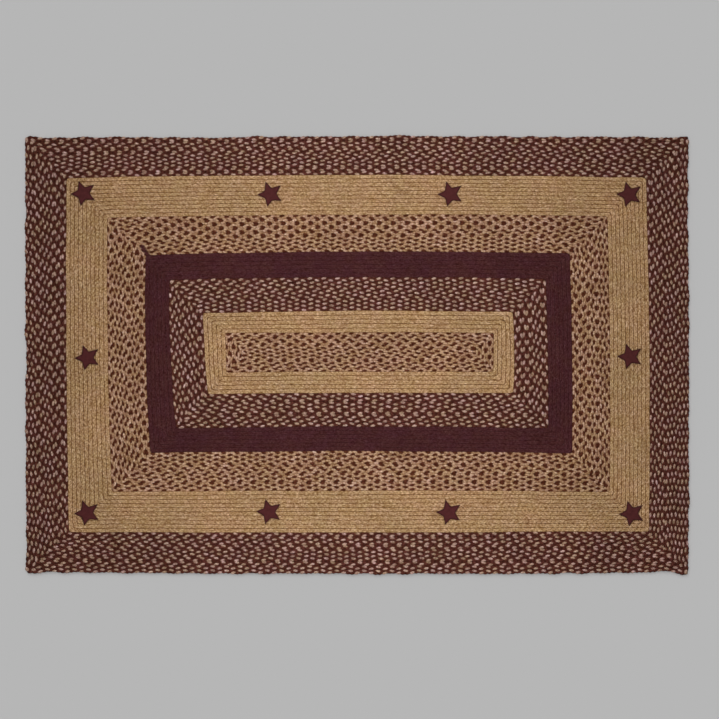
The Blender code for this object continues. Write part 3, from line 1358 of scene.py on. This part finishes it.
@dataclass(frozen=True)
class StarCut:
    """The star that every felt star is cut to, modelled once round the origin."""

    arms: int = 5
    tip: float = 37.0 * MM
    notch: float = 17.8 * MM
    notch_round: float = 2.4 * MM
    tip_round: float = 1.0 * MM
    waist: float = 0.975  # an edge's middle is drawn in to this share of its distance
    thickness: float = 1.6 * MM
    seam_inset: float = 2.1 * MM
    seam_half_width: float = 0.8 * MM
    grid: float = 1.9 * MM
    weld: float = 0.05 * MM

    def cut(self) -> bpy.types.Object:
        """Model the star with a closed, finely divided body.

        Returns:
            The star, lying on z = 0.
        """
        bpy.ops.object.select_all(action="DESELECT")
        bpy.ops.mesh.primitive_circle_add(vertices=2 * self.arms, radius=self.tip, fill_type="NGON")
        star = bpy.context.object
        bpy.ops.object.mode_set(mode="EDIT")
        self._select(star, lambda v: v.index % 2 == 1)
        share = self.notch / self.tip
        bpy.ops.transform.resize(value=(share, share, 1.0))
        self._round_corners(star)
        self._draw_in_edges(star)
        self._divide()
        bpy.ops.mesh.select_all(action="SELECT")
        bpy.ops.mesh.extrude_region_move(TRANSFORM_OT_translate={"value": (0, 0, self.thickness)})
        bpy.ops.mesh.select_all(action="SELECT")
        bpy.ops.mesh.remove_doubles(threshold=self.weld)
        bpy.ops.mesh.normals_make_consistent(inside=False)
        number_by_place(star)
        bpy.ops.object.mode_set(mode="OBJECT")
        return star

    @staticmethod
    def _select(star: bpy.types.Object, wanted: Callable[[bmesh.types.BMVert], bool]) -> None:
        """Select vertices of the star in edit mode.

        Args:
            star: The star.
            wanted: A test that the vertices have to pass.
        """
        bm = bmesh.from_edit_mesh(star.data)
        bpy.ops.mesh.select_all(action="DESELECT")
        bpy.ops.mesh.select_mode(type="VERT")
        bm.verts.ensure_lookup_table()
        for vertex in bm.verts:
            vertex.select_set(bool(wanted(vertex)))
        bm.select_flush(True)
        bmesh.update_edit_mesh(star.data)

    def _round_corners(self, star: bpy.types.Object) -> None:
        """Round the notches well and the tips a little.

        Args:
            star: The star, in edit mode.
        """
        between = (self.tip + self.notch) / 2
        self._select(star, lambda v: v.co.length < between)
        bpy.ops.mesh.bevel(offset=self.notch_round, segments=3, affect="VERTICES")
        self._select(star, lambda v: v.co.length > between)
        bpy.ops.mesh.bevel(offset=self.tip_round, segments=2, affect="VERTICES")

    def _draw_in_edges(self, star: bpy.types.Object) -> None:
        """Split each long edge and draw its middle in, so that it is a little hollow.

        Args:
            star: The star, in edit mode.
        """
        bm = bmesh.from_edit_mesh(star.data)
        bpy.ops.mesh.select_all(action="DESELECT")
        bpy.ops.mesh.select_mode(type="EDGE")
        long_edge = (self.tip - self.notch) / 2  # the edges of the rounded corners are shorter
        for edge in bm.edges:
            edge.select_set(edge.calc_length() > long_edge)
        bmesh.update_edit_mesh(star.data)
        known = {vertex.index for vertex in bm.verts}
        bpy.ops.mesh.subdivide(number_cuts=1)
        self._select(star, lambda v: v.index not in known)
        bpy.ops.transform.resize(value=(self.waist, self.waist, 1.0))

    def _divide(self) -> None:
        """Cut the star by a grid of planes, so that it can drape over the braid."""
        count = math.ceil(self.tip / self.grid)
        for axis in ((1, 0, 0), (0, 1, 0)):
            for step in range(-count, count + 1):
                point = Vector(axis) * (step + 0.5) * self.grid
                bpy.ops.mesh.select_all(action="SELECT")
                bpy.ops.mesh.bisect(plane_co=point, plane_no=axis)


@dataclass(frozen=True)
class StarKit:
    """What all the felt stars are made from.

    Attributes:
        pattern: The sizes that they are cut to.
        cut: A star as it was cut, round the origin.
        stitch: One stitch, round the origin and along X.
        felt: The stars' material.
        thread: The stitches' material.
        ground: Points of the braid that the stars lie on.
        rests_on: The names of the pieces of that braid.
        origin: The rug's middle, in the metres that the stars' places are given in.
    """

    pattern: StarCut
    cut: bpy.types.Object
    stitch: bpy.types.Object
    felt: bpy.types.Material
    thread: bpy.types.Material
    ground: np.ndarray
    rests_on: list[str]
    origin: np.ndarray


@dataclass(frozen=True)
class FeltStar:
    """A felt star sewn on the wide natural band.

    Attributes:
        name: The CAD node that it stands for.
        x: The star's middle along the rug, in mm.
        y: The star's middle across the rug, in mm.
        turn: How far it is turned, in degrees.
        rim_drop: How far the cut edge is pressed down.
        seam_drop: How far the stitches press the felt down.
        clear: Between the felt and the crests of the braid.
        soften: How far the felt spreads the height of a crest.
        stitch_pitch: From one stitch to the next.
    """

    INSET = "Inset"  # distance in from the star's edge, kept on each vertex
    FIRST_ARM = 36.0  # degrees from +X to the first arm of a star that isn't turned
    CUT_ARM = 90.0  # the same for the star as it is cut
    SLOT = "star_felt"
    GROUND_REACH = 1.3  # the braid counts as near within this many times the tips' reach
    PATH_STEP = 0.25 * MM  # between two points that the stitches' path is drawn with
    PATH_SHARE = 0.96  # of the inset: where the path comes nearer the edge, at a notch, it is cut short
    WALL_LEAN = 0.5  # a side wall's normal rises less than this
    SQUARE_CM = 1e-4  # in square metres

    name: str
    x: float
    y: float
    turn: float
    rim_drop: float = 0.45 * MM
    seam_drop: float = 0.45 * MM
    clear: float = 0.15 * MM
    soften: float = 4.0 * MM
    stitch_pitch: float = 3.3 * MM

    def build(self, kit: StarKit) -> None:
        """Lay, sew and dress the star.

        Args:
            kit: What it is made from, and where it lies.
        """
        pattern = kit.pattern
        star = bpy.data.objects.new(f"{self.name}_felt", kit.cut.data.copy())
        bpy.context.scene.collection.objects.link(star)
        angle = math.radians(self.FIRST_ARM + self.turn - self.CUT_ARM)
        middle = Vector((self.x * MM - kit.origin[0], self.y * MM - kit.origin[1], 0.0))
        star.data.transform(Matrix.Translation(middle) @ Matrix.Rotation(angle, 4, "Z"))
        spots = np.array([v.co for v in star.data.vertices])
        outline = self._outline(star.data)
        inset = self._distance_in(spots[:, :2], outline)
        from_middle = np.linalg.norm(kit.ground[:, :2] - spots[:, :2].mean(axis=0), axis=1)
        near = kit.ground[from_middle < pattern.tip * self.GROUND_REACH]
        support = self._support(spots[:, :2], near)
        upper = spots[:, 2] > pattern.thickness / 2
        spots[:, 2] += support + self.clear + np.where(upper, self._relief(inset, pattern), 0.0)
        star.data.vertices.foreach_set("co", spots.ravel())
        kept = star.data.attributes.new(self.INSET, "FLOAT", "POINT")
        kept.data.foreach_set("value", inset)
        star.data.materials.clear()
        star.data.materials.append(kit.felt)
        star.data.shade_smooth()
        star.data.update()
        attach(star, BODY)
        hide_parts(self.name)

        seam = self._sew(kit, outline, near)
        area = self._area(outline)
        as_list(kit.rests_on)
        log.info("%s and %s: %.1f square cm of felt", star.name, seam.name, area / self.SQUARE_CM)

    def _outline(self, mesh: bpy.types.Mesh) -> np.ndarray:
        """The star's outline, from the side walls' lower edges, in order.

        Args:
            mesh: The star, placed but not yet draped.

        Returns:
            Points in X and Y, anticlockwise from the one that is farthest to the left.
        """
        bm = bmesh.new()
        bm.from_mesh(mesh)
        walls = [f for f in bm.faces if abs(f.normal.z) < self.WALL_LEAN]
        heights = [v.co.z for v in bm.verts]
        halfway = (min(heights) + max(heights)) / 2
        links: dict[int, list[int]] = {}
        for wall in walls:
            a, b = [v.index for v in wall.verts if v.co.z < halfway]
            links.setdefault(a, []).append(b)
            links.setdefault(b, []).append(a)
        bm.verts.ensure_lookup_table()
        first = min(links, key=lambda k: bm.verts[k].co.x)
        order = [first, links[first][0]]
        while len(order) < len(links):
            order.append(next(k for k in links[order[-1]] if k != order[-2]))
        points = np.array([bm.verts[k].co.to_2d() for k in order])
        bm.free()
        return points if self._area(points) > 0 else np.roll(points[::-1], 1, axis=0)

    @staticmethod
    def _area(outline: np.ndarray) -> float:
        """Area inside an outline, below 0 where it runs clockwise."""
        after = np.roll(outline, -1, axis=0)
        return float((outline[:, 0] * after[:, 1] - after[:, 0] * outline[:, 1]).sum()) / 2

    @staticmethod
    def _distance_in(spots: np.ndarray, outline: np.ndarray) -> np.ndarray:
        """Measure how far spots are from an outline.

        Args:
            spots: X and Y of each spot.
            outline: Points round the outline.

        Returns:
            Each spot's distance to the nearest edge.
        """
        step = np.roll(outline, -1, axis=0) - outline
        from_start = spots[:, None] - outline[None]
        share = np.clip((from_start * step).sum(axis=2) / (step**2).sum(axis=1), 0, 1)
        return np.linalg.norm(from_start - share[..., None] * step, axis=2).min(axis=1)

    def _support(self, spots: np.ndarray, ground: np.ndarray) -> np.ndarray:
        """Height at which felt lies on the crests of the braid under it.

        Args:
            spots: X and Y of the felt.
            ground: Points of the braid.

        Returns:
            A soft height over the highest points near each spot.
        """
        away = np.linalg.norm(spots[:, None] - ground[None, :, :2], axis=2)
        crest = np.where(away < self.soften, ground[None, :, 2], 0.0).max(axis=1)
        apart = np.linalg.norm(spots[:, None] - spots[None], axis=2)
        weight = np.exp(-((apart / self.soften) ** 2))
        return (weight * crest).sum(axis=1) / weight.sum(axis=1)

    def _relief(self, inset: np.ndarray, pattern: StarCut) -> np.ndarray:
        """Press the felt's top down at the cut edge and under the stitches.

        Args:
            inset: How far in from the edge each spot is.
            pattern: The sizes that the star was cut to.

        Returns:
            The shift of each spot, 0 or below.
        """
        rim = -self.rim_drop * np.clip(1 - inset / (pattern.seam_inset / 2), 0, 1)
        seam = np.clip(1 - abs(inset - pattern.seam_inset) / pattern.seam_half_width, 0, 1)
        return rim - self.seam_drop * seam

    def _sew(self, kit: StarKit, outline: np.ndarray, ground: np.ndarray) -> bpy.types.Object:
        """Sew round the star, just in from its edge.

        Args:
            kit: What the star is made from.
            outline: The star's outline.
            ground: Points of the braid under the star.

        Returns:
            The joined stitches.
        """
        pattern = kit.pattern
        step = np.roll(outline, -1, axis=0) - outline
        run = np.concatenate([[0.0], np.cumsum(np.linalg.norm(step, axis=1))])
        closed = np.concatenate([outline, outline[:1]])
        fine = np.arange(0, run[-1], self.PATH_STEP)
        edge = np.stack([np.interp(fine, run, closed[:, k]) for k in (0, 1)], axis=1)
        way = np.roll(edge, -1, axis=0) - np.roll(edge, 1, axis=0)
        way /= np.linalg.norm(way, axis=1, keepdims=True)
        side = np.stack([-way[:, 1], way[:, 0]], axis=1)
        path = edge + side * pattern.seam_inset
        clear = self._distance_in(path, outline) > pattern.seam_inset * self.PATH_SHARE
        path, way, side = path[clear], way[clear], side[clear]
        gaps = np.linalg.norm(np.diff(path, axis=0), axis=1)
        travelled = np.concatenate([[0.0], np.cumsum(gaps)])
        count = int(travelled[-1] / self.stitch_pitch)
        picks = np.searchsorted(travelled, (np.arange(count) + 0.5) * self.stitch_pitch)
        height = self._support(path[picks], ground) + self.clear + pattern.thickness - self.seam_drop

        shape = np.array([v.co for v in kit.stitch.data.vertices])
        along, beside = shape[:, 0, None], shape[:, 1, None]
        verts, faces = [], []
        for pick, level in zip(picks, height):
            flat = path[pick] + along * way[pick] + beside * side[pick]
            start = len(verts) * len(shape)
            faces += [[start + k for k in f.vertices] for f in kit.stitch.data.polygons]
            verts.append(np.column_stack([flat, shape[:, 2] + level]))
        mesh = bpy.data.meshes.new(f"{self.name}_stitches")
        mesh.from_pydata(np.concatenate(verts).tolist(), [], faces)
        mesh.shade_smooth()
        mesh.materials.append(kit.thread)
        seam = bpy.data.objects.new(mesh.name, mesh)
        bpy.context.scene.collection.objects.link(seam)
        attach(seam, BODY)
        return seam


@dataclass(frozen=True)
class StitchShape:
    """One sewn stitch, a short bead of thread modelled once along X."""

    length: float = 2.3 * MM
    thickness: float = 0.6 * MM
    sides: int = 6
    rings: int = 4

    def make(self) -> bpy.types.Object:
        """Model the stitch round the origin.

        Returns:
            The stitch, whose ends dip into the felt.
        """
        bpy.ops.object.select_all(action="DESELECT")
        bpy.ops.mesh.primitive_uv_sphere_add(segments=self.sides, ring_count=self.rings, radius=0.5)
        stitch = bpy.context.object
        bpy.ops.object.mode_set(mode="EDIT")
        bpy.ops.mesh.select_all(action="SELECT")
        bpy.ops.transform.rotate(value=math.pi / 2, orient_axis="Y", center_override=(0, 0, 0))
        bpy.ops.transform.resize(value=(self.length, self.thickness, self.thickness))
        number_by_place(stitch)
        bpy.ops.object.mode_set(mode="OBJECT")
        return stitch


# Natural jute is undyed, and the flecked braids mix tan strands with burgundy ones.
NATURAL_JUTE = JuteBraid(
    "jute_braid_natural",
    odd="#C6A176",
    rest="#C6A176",
    golden="#FFFFF6",
    rosy="#FFFCFF",
    lobe_spread=0.05,
    yarn_spread=0.12,
    bead_spread=0.53,
    slub_spread=0.08,
    painted_crease_shade=0.3,
    painted_hollow_shade=0.25,
    painted_groove_shade=0.85,
    richness=(1.0, 1.3, 1.8),
)
WINE_JUTE = JuteBraid(
    "jute_braid_burgundy",
    odd="#50292D",
    rest="#50292D",
    warm="#FFE0D0",
    lobe_spread=0.02,
    yarn_spread=0.08,
    bead_spread=0.45,
    slub_spread=0.08,
    painted_crease_shade=0.05,
    painted_hollow_shade=0.0,
    plait_relief=0.03,
    richness=(1.0, 1.9, 1.9),
)
WINE_FLECKED_JUTE = JuteBraid("jute_braid_burgundy_fleck", odd="#BC9C8E", rest="#5B3027", warm="#F6E2D4")
TAN_FLECKED_JUTE = JuteBraid(
    "jute_braid_tan_fleck",
    odd="#5F3120",
    rest="#C19A7D",
    golden="#FFFFEE",
    rosy="#FFFBFC",
    warm="#F6E2D4",
    richness=(1.0, 1.35, 1.8),
)

# A strand of the solid band is tucked up along the mitre of the flecked braid outside it.
CORNER_TUCK = Tuck(start=(-574, 272), end=(-593, 299), half_width=5.2, blur=1.6)

# How the lobes of two colours meet, over each seam from the outside in.
BORDER_SEAMS = Seams(
    top=((0, 0), (-2, -8), (0, 2), (0, -5), (5, 2), (-5, 0), (5, 4), (-2, 2), (-1, 3)),
    right=((5, 5), (-3, -5), (1, 4), (-2, -5), (-3, -5), (-3, 1), (1, 4), (-3, -3), (0, 5)),
    bottom=((5, 5), (-1, -3), (0, 0), (0, -10), (4, 6), (0, 2), (-3, 3), (-5, -3), (2, -3)),
    left=((4, 4), (-5, 0), (3, -3), (1, 3), (5, 2), (-6, 5), (2, 0), (2, 1), (-2, 2)),
)
TAN_SEAMS = Seams(
    top=((1, 1), (0, 0), (0, 0), (-1, 4), (1, -1), (3, 5), (4, 5), (-2, -5)),
    right=((-4, -3), (4, 3), (0, 0), (3, 5), (1, -1), (1, 3), (1, 0), (0, -3)),
    bottom=((5, 6), (0, -1), (5, 6), (0, -3), (4, 2), (0, 2), (-3, -5), (4, 5)),
    left=((2, 2), (4, 4), (3, 4), (4, 2), (0, 0), (5, 6), (3, 1), (0, 0)),
)
WINE_SEAMS = Seams(
    top=((-2, -5), (3, 5), (-2, -3), (4, 5), (3, 3), (5, 5), (5, 5)),
    right=((0, -1), (2, 3), (3, 3), (1, 1), (1, 0), (1, 0), (2, 1)),
    bottom=((-5, -2), (-2, -3), (0, 1), (-4, 4), (-4, -6), (-3, 2), (-2, -8)),
    left=((3, 3), (-4, -4), (2, 2), (-2, -2), (-4, -4), (-2, -2), (0, 0)),
)
CENTRE_SEAMS = Seams(
    top=((0, -4), (1, 3), (-1, -2), (-5, 0)),
    right=((0, 0),) * 4,
    bottom=((-2, -3), (-4, -3), (0, 0), (2, 5)),
    left=((0, 0),) * 4,
)

BANDS = (
    BraidBand(
        "outer_border",
        "burgundy_fleck_braid",
        (3, 3, 2, 2),
        Line(-914, 599, 912, 600, 913, -599, -912, -598, 4, 2, 4, 2),
        WINE_FLECKED_JUTE,
        BORDER_SEAMS,
        first_pull=4.0 * MM,
        first_reach=17.0 * MM,
    ),
    BraidBand(
        "wide_natural",
        "natural_braid",
        (4, 3, 3),
        Line(-802, 489, 797, 490, 805, -486, -795, -488, 8, 6, 2, 4),
        NATURAL_JUTE,
    ),
    BraidBand(
        "tan_fleck",
        "tan_fleck_braid",
        (3, 3, 3),
        Line(-689, 379, 689, 384, 696, -376, -677, -376, 6, 4, -3, 4),
        TAN_FLECKED_JUTE,
        TAN_SEAMS,
        CORNER_TUCK,
    ),
    BraidBand(
        "solid_burgundy",
        "burgundy_braid",
        (3, 3),
        Line(-584, 276, 587, 280, 593, -270, -571, -269, 8, 3, -5, 6),
        WINE_JUTE,
    ),
    BraidBand(
        "burgundy_fleck",
        "burgundy_fleck_braid",
        (3, 3, 2),
        Line(-518, 208, 520, 211, 528, -201, -499, -202, 6, 2, -5, 6),
        WINE_FLECKED_JUTE,
        WINE_SEAMS,
    ),
    BraidBand(
        "narrow_natural",
        "natural_braid",
        (3, 2),
        Line(-426, 116, 429, 120, 431, -105, -413, -107, 5, 3, -2, 1),
        NATURAL_JUTE,
    ),
    BraidBand(
        "centre_panel",
        "tan_fleck_braid",
        (3, 2),
        Line(-364, 61, 376, 62, 375, -46, -361, -47, 1, 0, -2, 0),
        TAN_FLECKED_JUTE,
        CENTRE_SEAMS,
    ),
)
# The innermost round is the braid doubled back along this middle line.
HEART = Line(-310, 7, 323, 8, 323, 8, -310, 7, 0, 0, 0, 0)
STAR_BAND = "wide_natural"

STARS = (
    FeltStar("star_top_left", -754, 447, 4),
    FeltStar("star_top_mid_left", -239, 445, 4),
    FeltStar("star_top_mid_right", 258, 445, 2),
    FeltStar("star_top_right", 751, 444, -1),
    FeltStar("star_left", -743, -6, 3),
    FeltStar("star_right", 753, -3, 0),
    FeltStar("star_bottom_left", -744, -434, 4),
    FeltStar("star_bottom_mid_left", -242, -431, -1),
    FeltStar("star_bottom_mid_right", 254, -433, -1),
    FeltStar("star_bottom_right", 758, -436, 3),
)

# Where the rug's edge lies out of line: at its corners, and along its sides.
CORNER_TUGS = (
    Tug(-914, 599, -3, 5, 28),
    Tug(912, 600, 4, 5, 24),
    Tug(913, -599, 0, -7, 34),
    Tug(-912, -598, -6, -3, 26),
)
EDGE_TUGS = (
    Tug(-378, 602, 0, -3.4, 55),
    Tug(125, 604, 0, 2.9, 80),
    Tug(914, 367, -2.6, 0, 85),
    Tug(914, -391, 1.8, 0, 40),
    Tug(835, -600, 0, 3.0, 45),
    Tug(-913, -13, 2.3, 0, 60),
    Tug(-913, 505, -1.8, 0, 35),
)
RUG_LIE = Lie(middle=BANDS[0].outer.middle(), tugs=CORNER_TUGS + EDGE_TUGS)


class FloorLink(Enum):
    """What a light does with the floor, in Blender's words."""

    LEAVES_IT_OUT = "EXCLUDE"
    LIGHTS_IT_ALONE = "INCLUDE"


@dataclass(frozen=True)
class Studio:
    """A pale floor, soft light and a camera straight above.

    A wide softbox hangs low over the rug and along its short side, so both
    short ends get less light. A wide sun from the upper left and an even sky
    fill in. The floor has a light of its own instead of the softbox.
    """

    OVERHEAD = 90.0  # height of a sun straight above, in degrees

    view_width: float = 1.9816
    view_x: float = 6.55 * MM
    view_y: float = -12.1 * MM
    lens_mm: float = 100.0
    sensor_mm: float = 36.0
    floor_size: float = 40.0
    floor_colour: str = "#CACACA"
    floor_tooth_mm: float = 1.1
    floor_roughness: tuple[float, float] = (0.9, 1.0)
    sky: float = 0.27
    sun: float = 0.78
    sun_spread: float = 45.0
    sun_height: float = 45.0
    sun_from: float = 115.0  # degrees anticlockwise from +X, seen from above
    softbox_power: float = 19.9
    softbox_width: float = 1.3
    softbox_length: float = 8.0
    softbox_height: float = 0.7
    floor_light: float = 1.09

    def build(self) -> None:
        """Make the floor, the lights and the camera."""
        floor = self._floor()
        self._sky()
        self._sun("wide_sun", self.sun, self.sun_height, self.sun_from)
        self._link(self._softbox(), floor, FloorLink.LEAVES_IT_OUT)
        floor_light = self._sun("floor_light", self.floor_light, self.OVERHEAD, 0.0)
        self._link(floor_light, floor, FloorLink.LIGHTS_IT_ALONE)
        self._camera()

    def _floor(self) -> bpy.types.Object:
        """Lay a plain matt board under the rug.

        Returns:
            The board.
        """
        bpy.ops.object.select_all(action="DESELECT")
        bpy.ops.mesh.primitive_plane_add(size=self.floor_size, location=(0, 0, 0))
        floor = bpy.context.object
        floor.name = "floor"
        sheet = NodeSheet.named("matt_board")
        where = sheet.add("TexCoord", output="Object")
        tooth = sheet.add("TexNoise", {"Vector": where, "Scale": 1 / (self.floor_tooth_mm * MM)})
        smoothest, roughest = self.floor_roughness
        rough = sheet.add("MapRange", {0: tooth, 3: smoothest, 4: roughest})
        floor.data.materials.append(
            sheet.surface(
                {"Base Color": linear(self.floor_colour), "Roughness": rough, "Specular IOR Level": 0.0}
            )
        )
        return floor

    def _sky(self) -> None:
        """Light the scene with an even sky."""
        world = bpy.data.worlds.new("soft_sky")
        world.use_nodes = True
        sky = world.node_tree.nodes["Background"]
        sky.inputs["Color"].default_value = (1.0, 1.0, 1.0, 1.0)
        sky.inputs["Strength"].default_value = self.sky
        bpy.context.scene.world = world

    def _sun(self, name: str, strength: float, height: float, bearing: float) -> bpy.types.Object:
        """Add a very wide sun.

        Args:
            name: The light's name.
            strength: Its strength.
            height: Its height over the floor, in degrees.
            bearing: Where it stands, in degrees anticlockwise from +X.

        Returns:
            The light.
        """
        lamp = bpy.data.lights.new(name, "SUN")
        lamp.energy = strength
        lamp.angle = math.radians(self.sun_spread)
        sun = bpy.data.objects.new(name, lamp)
        up, turn = math.radians(height), math.radians(bearing)
        toward = Vector((math.cos(up) * math.cos(turn), math.cos(up) * math.sin(turn), math.sin(up)))
        sun.rotation_euler = toward.to_track_quat("Z", "Y").to_euler()
        bpy.context.scene.collection.objects.link(sun)
        return sun

    def _softbox(self) -> bpy.types.Object:
        """Hang the softbox, which the camera looks through.

        Returns:
            The softbox.
        """
        lamp = bpy.data.lights.new("softbox", "AREA")
        lamp.shape = "RECTANGLE"
        lamp.size = self.softbox_width
        lamp.size_y = self.softbox_length
        lamp.energy = self.softbox_power
        softbox = bpy.data.objects.new("softbox", lamp)
        softbox.location = (0, 0, self.softbox_height)
        softbox.visible_camera = False
        bpy.context.scene.collection.objects.link(softbox)
        return softbox

    @staticmethod
    def _link(light: bpy.types.Object, floor: bpy.types.Object, link: FloorLink) -> None:
        """Make a light leave out the floor, or light nothing else.

        Args:
            light: The light.
            floor: The floor.
            link: Which of the two.
        """
        lit = bpy.data.collections.new(f"{light.name}_receivers")
        lit.objects.link(floor)
        lit.collection_objects[0].light_linking.link_state = link.value
        light.light_linking.receiver_collection = lit

    def _camera(self) -> None:
        """Look straight down from where the view's width fits the photograph's."""
        lens = bpy.data.cameras.new("camera")
        lens.lens = self.lens_mm
        lens.sensor_width = self.sensor_mm
        camera = bpy.data.objects.new("camera", lens)
        top = CAD_BOX[1][2]
        height = top + self.view_width * self.lens_mm / self.sensor_mm
        camera.location = (self.view_x, self.view_y, height)
        bpy.context.scene.collection.objects.link(camera)
        bpy.context.scene.camera = camera


def main() -> None:
    """Build the rug's pieces in order, then the studio."""
    logging.basicConfig(level=logging.INFO, format="%(name)s: %(message)s")
    bpy.context.scene.view_settings.view_transform = "Standard"
    Studio().build()
    materials: dict[str, bpy.types.Material] = {}
    star_ground: list[str] = []
    number = 0
    lacing = Lacing()
    lines = [band.outer for band in BANDS] + [HEART]
    for band, inner in zip(BANDS, lines[1:]):
        if band.finish.name not in materials:
            materials[band.finish.name] = band.finish.material()
        names = band.build(inner, number, RUG_LIE, lacing, materials[band.finish.name])
        number += band.round_count
        if band.node == STAR_BAND:
            star_ground = names
    points = [np.array([v.co for v in bpy.data.objects[name].data.vertices]) for name in star_ground]
    pattern = StarCut()
    kit = StarKit(
        pattern=pattern,
        cut=pattern.cut(),
        stitch=StitchShape().make(),
        felt=WoolFelt().material(),
        thread=SewingThread().material(),
        ground=np.concatenate(points),
        rests_on=star_ground,
        origin=RUG_LIE.middle,
    )
    for star in STARS:
        star.build(kit)
    for template in (kit.cut, kit.stitch):
        bpy.data.objects.remove(template)


if __name__ == "__main__":
    main()
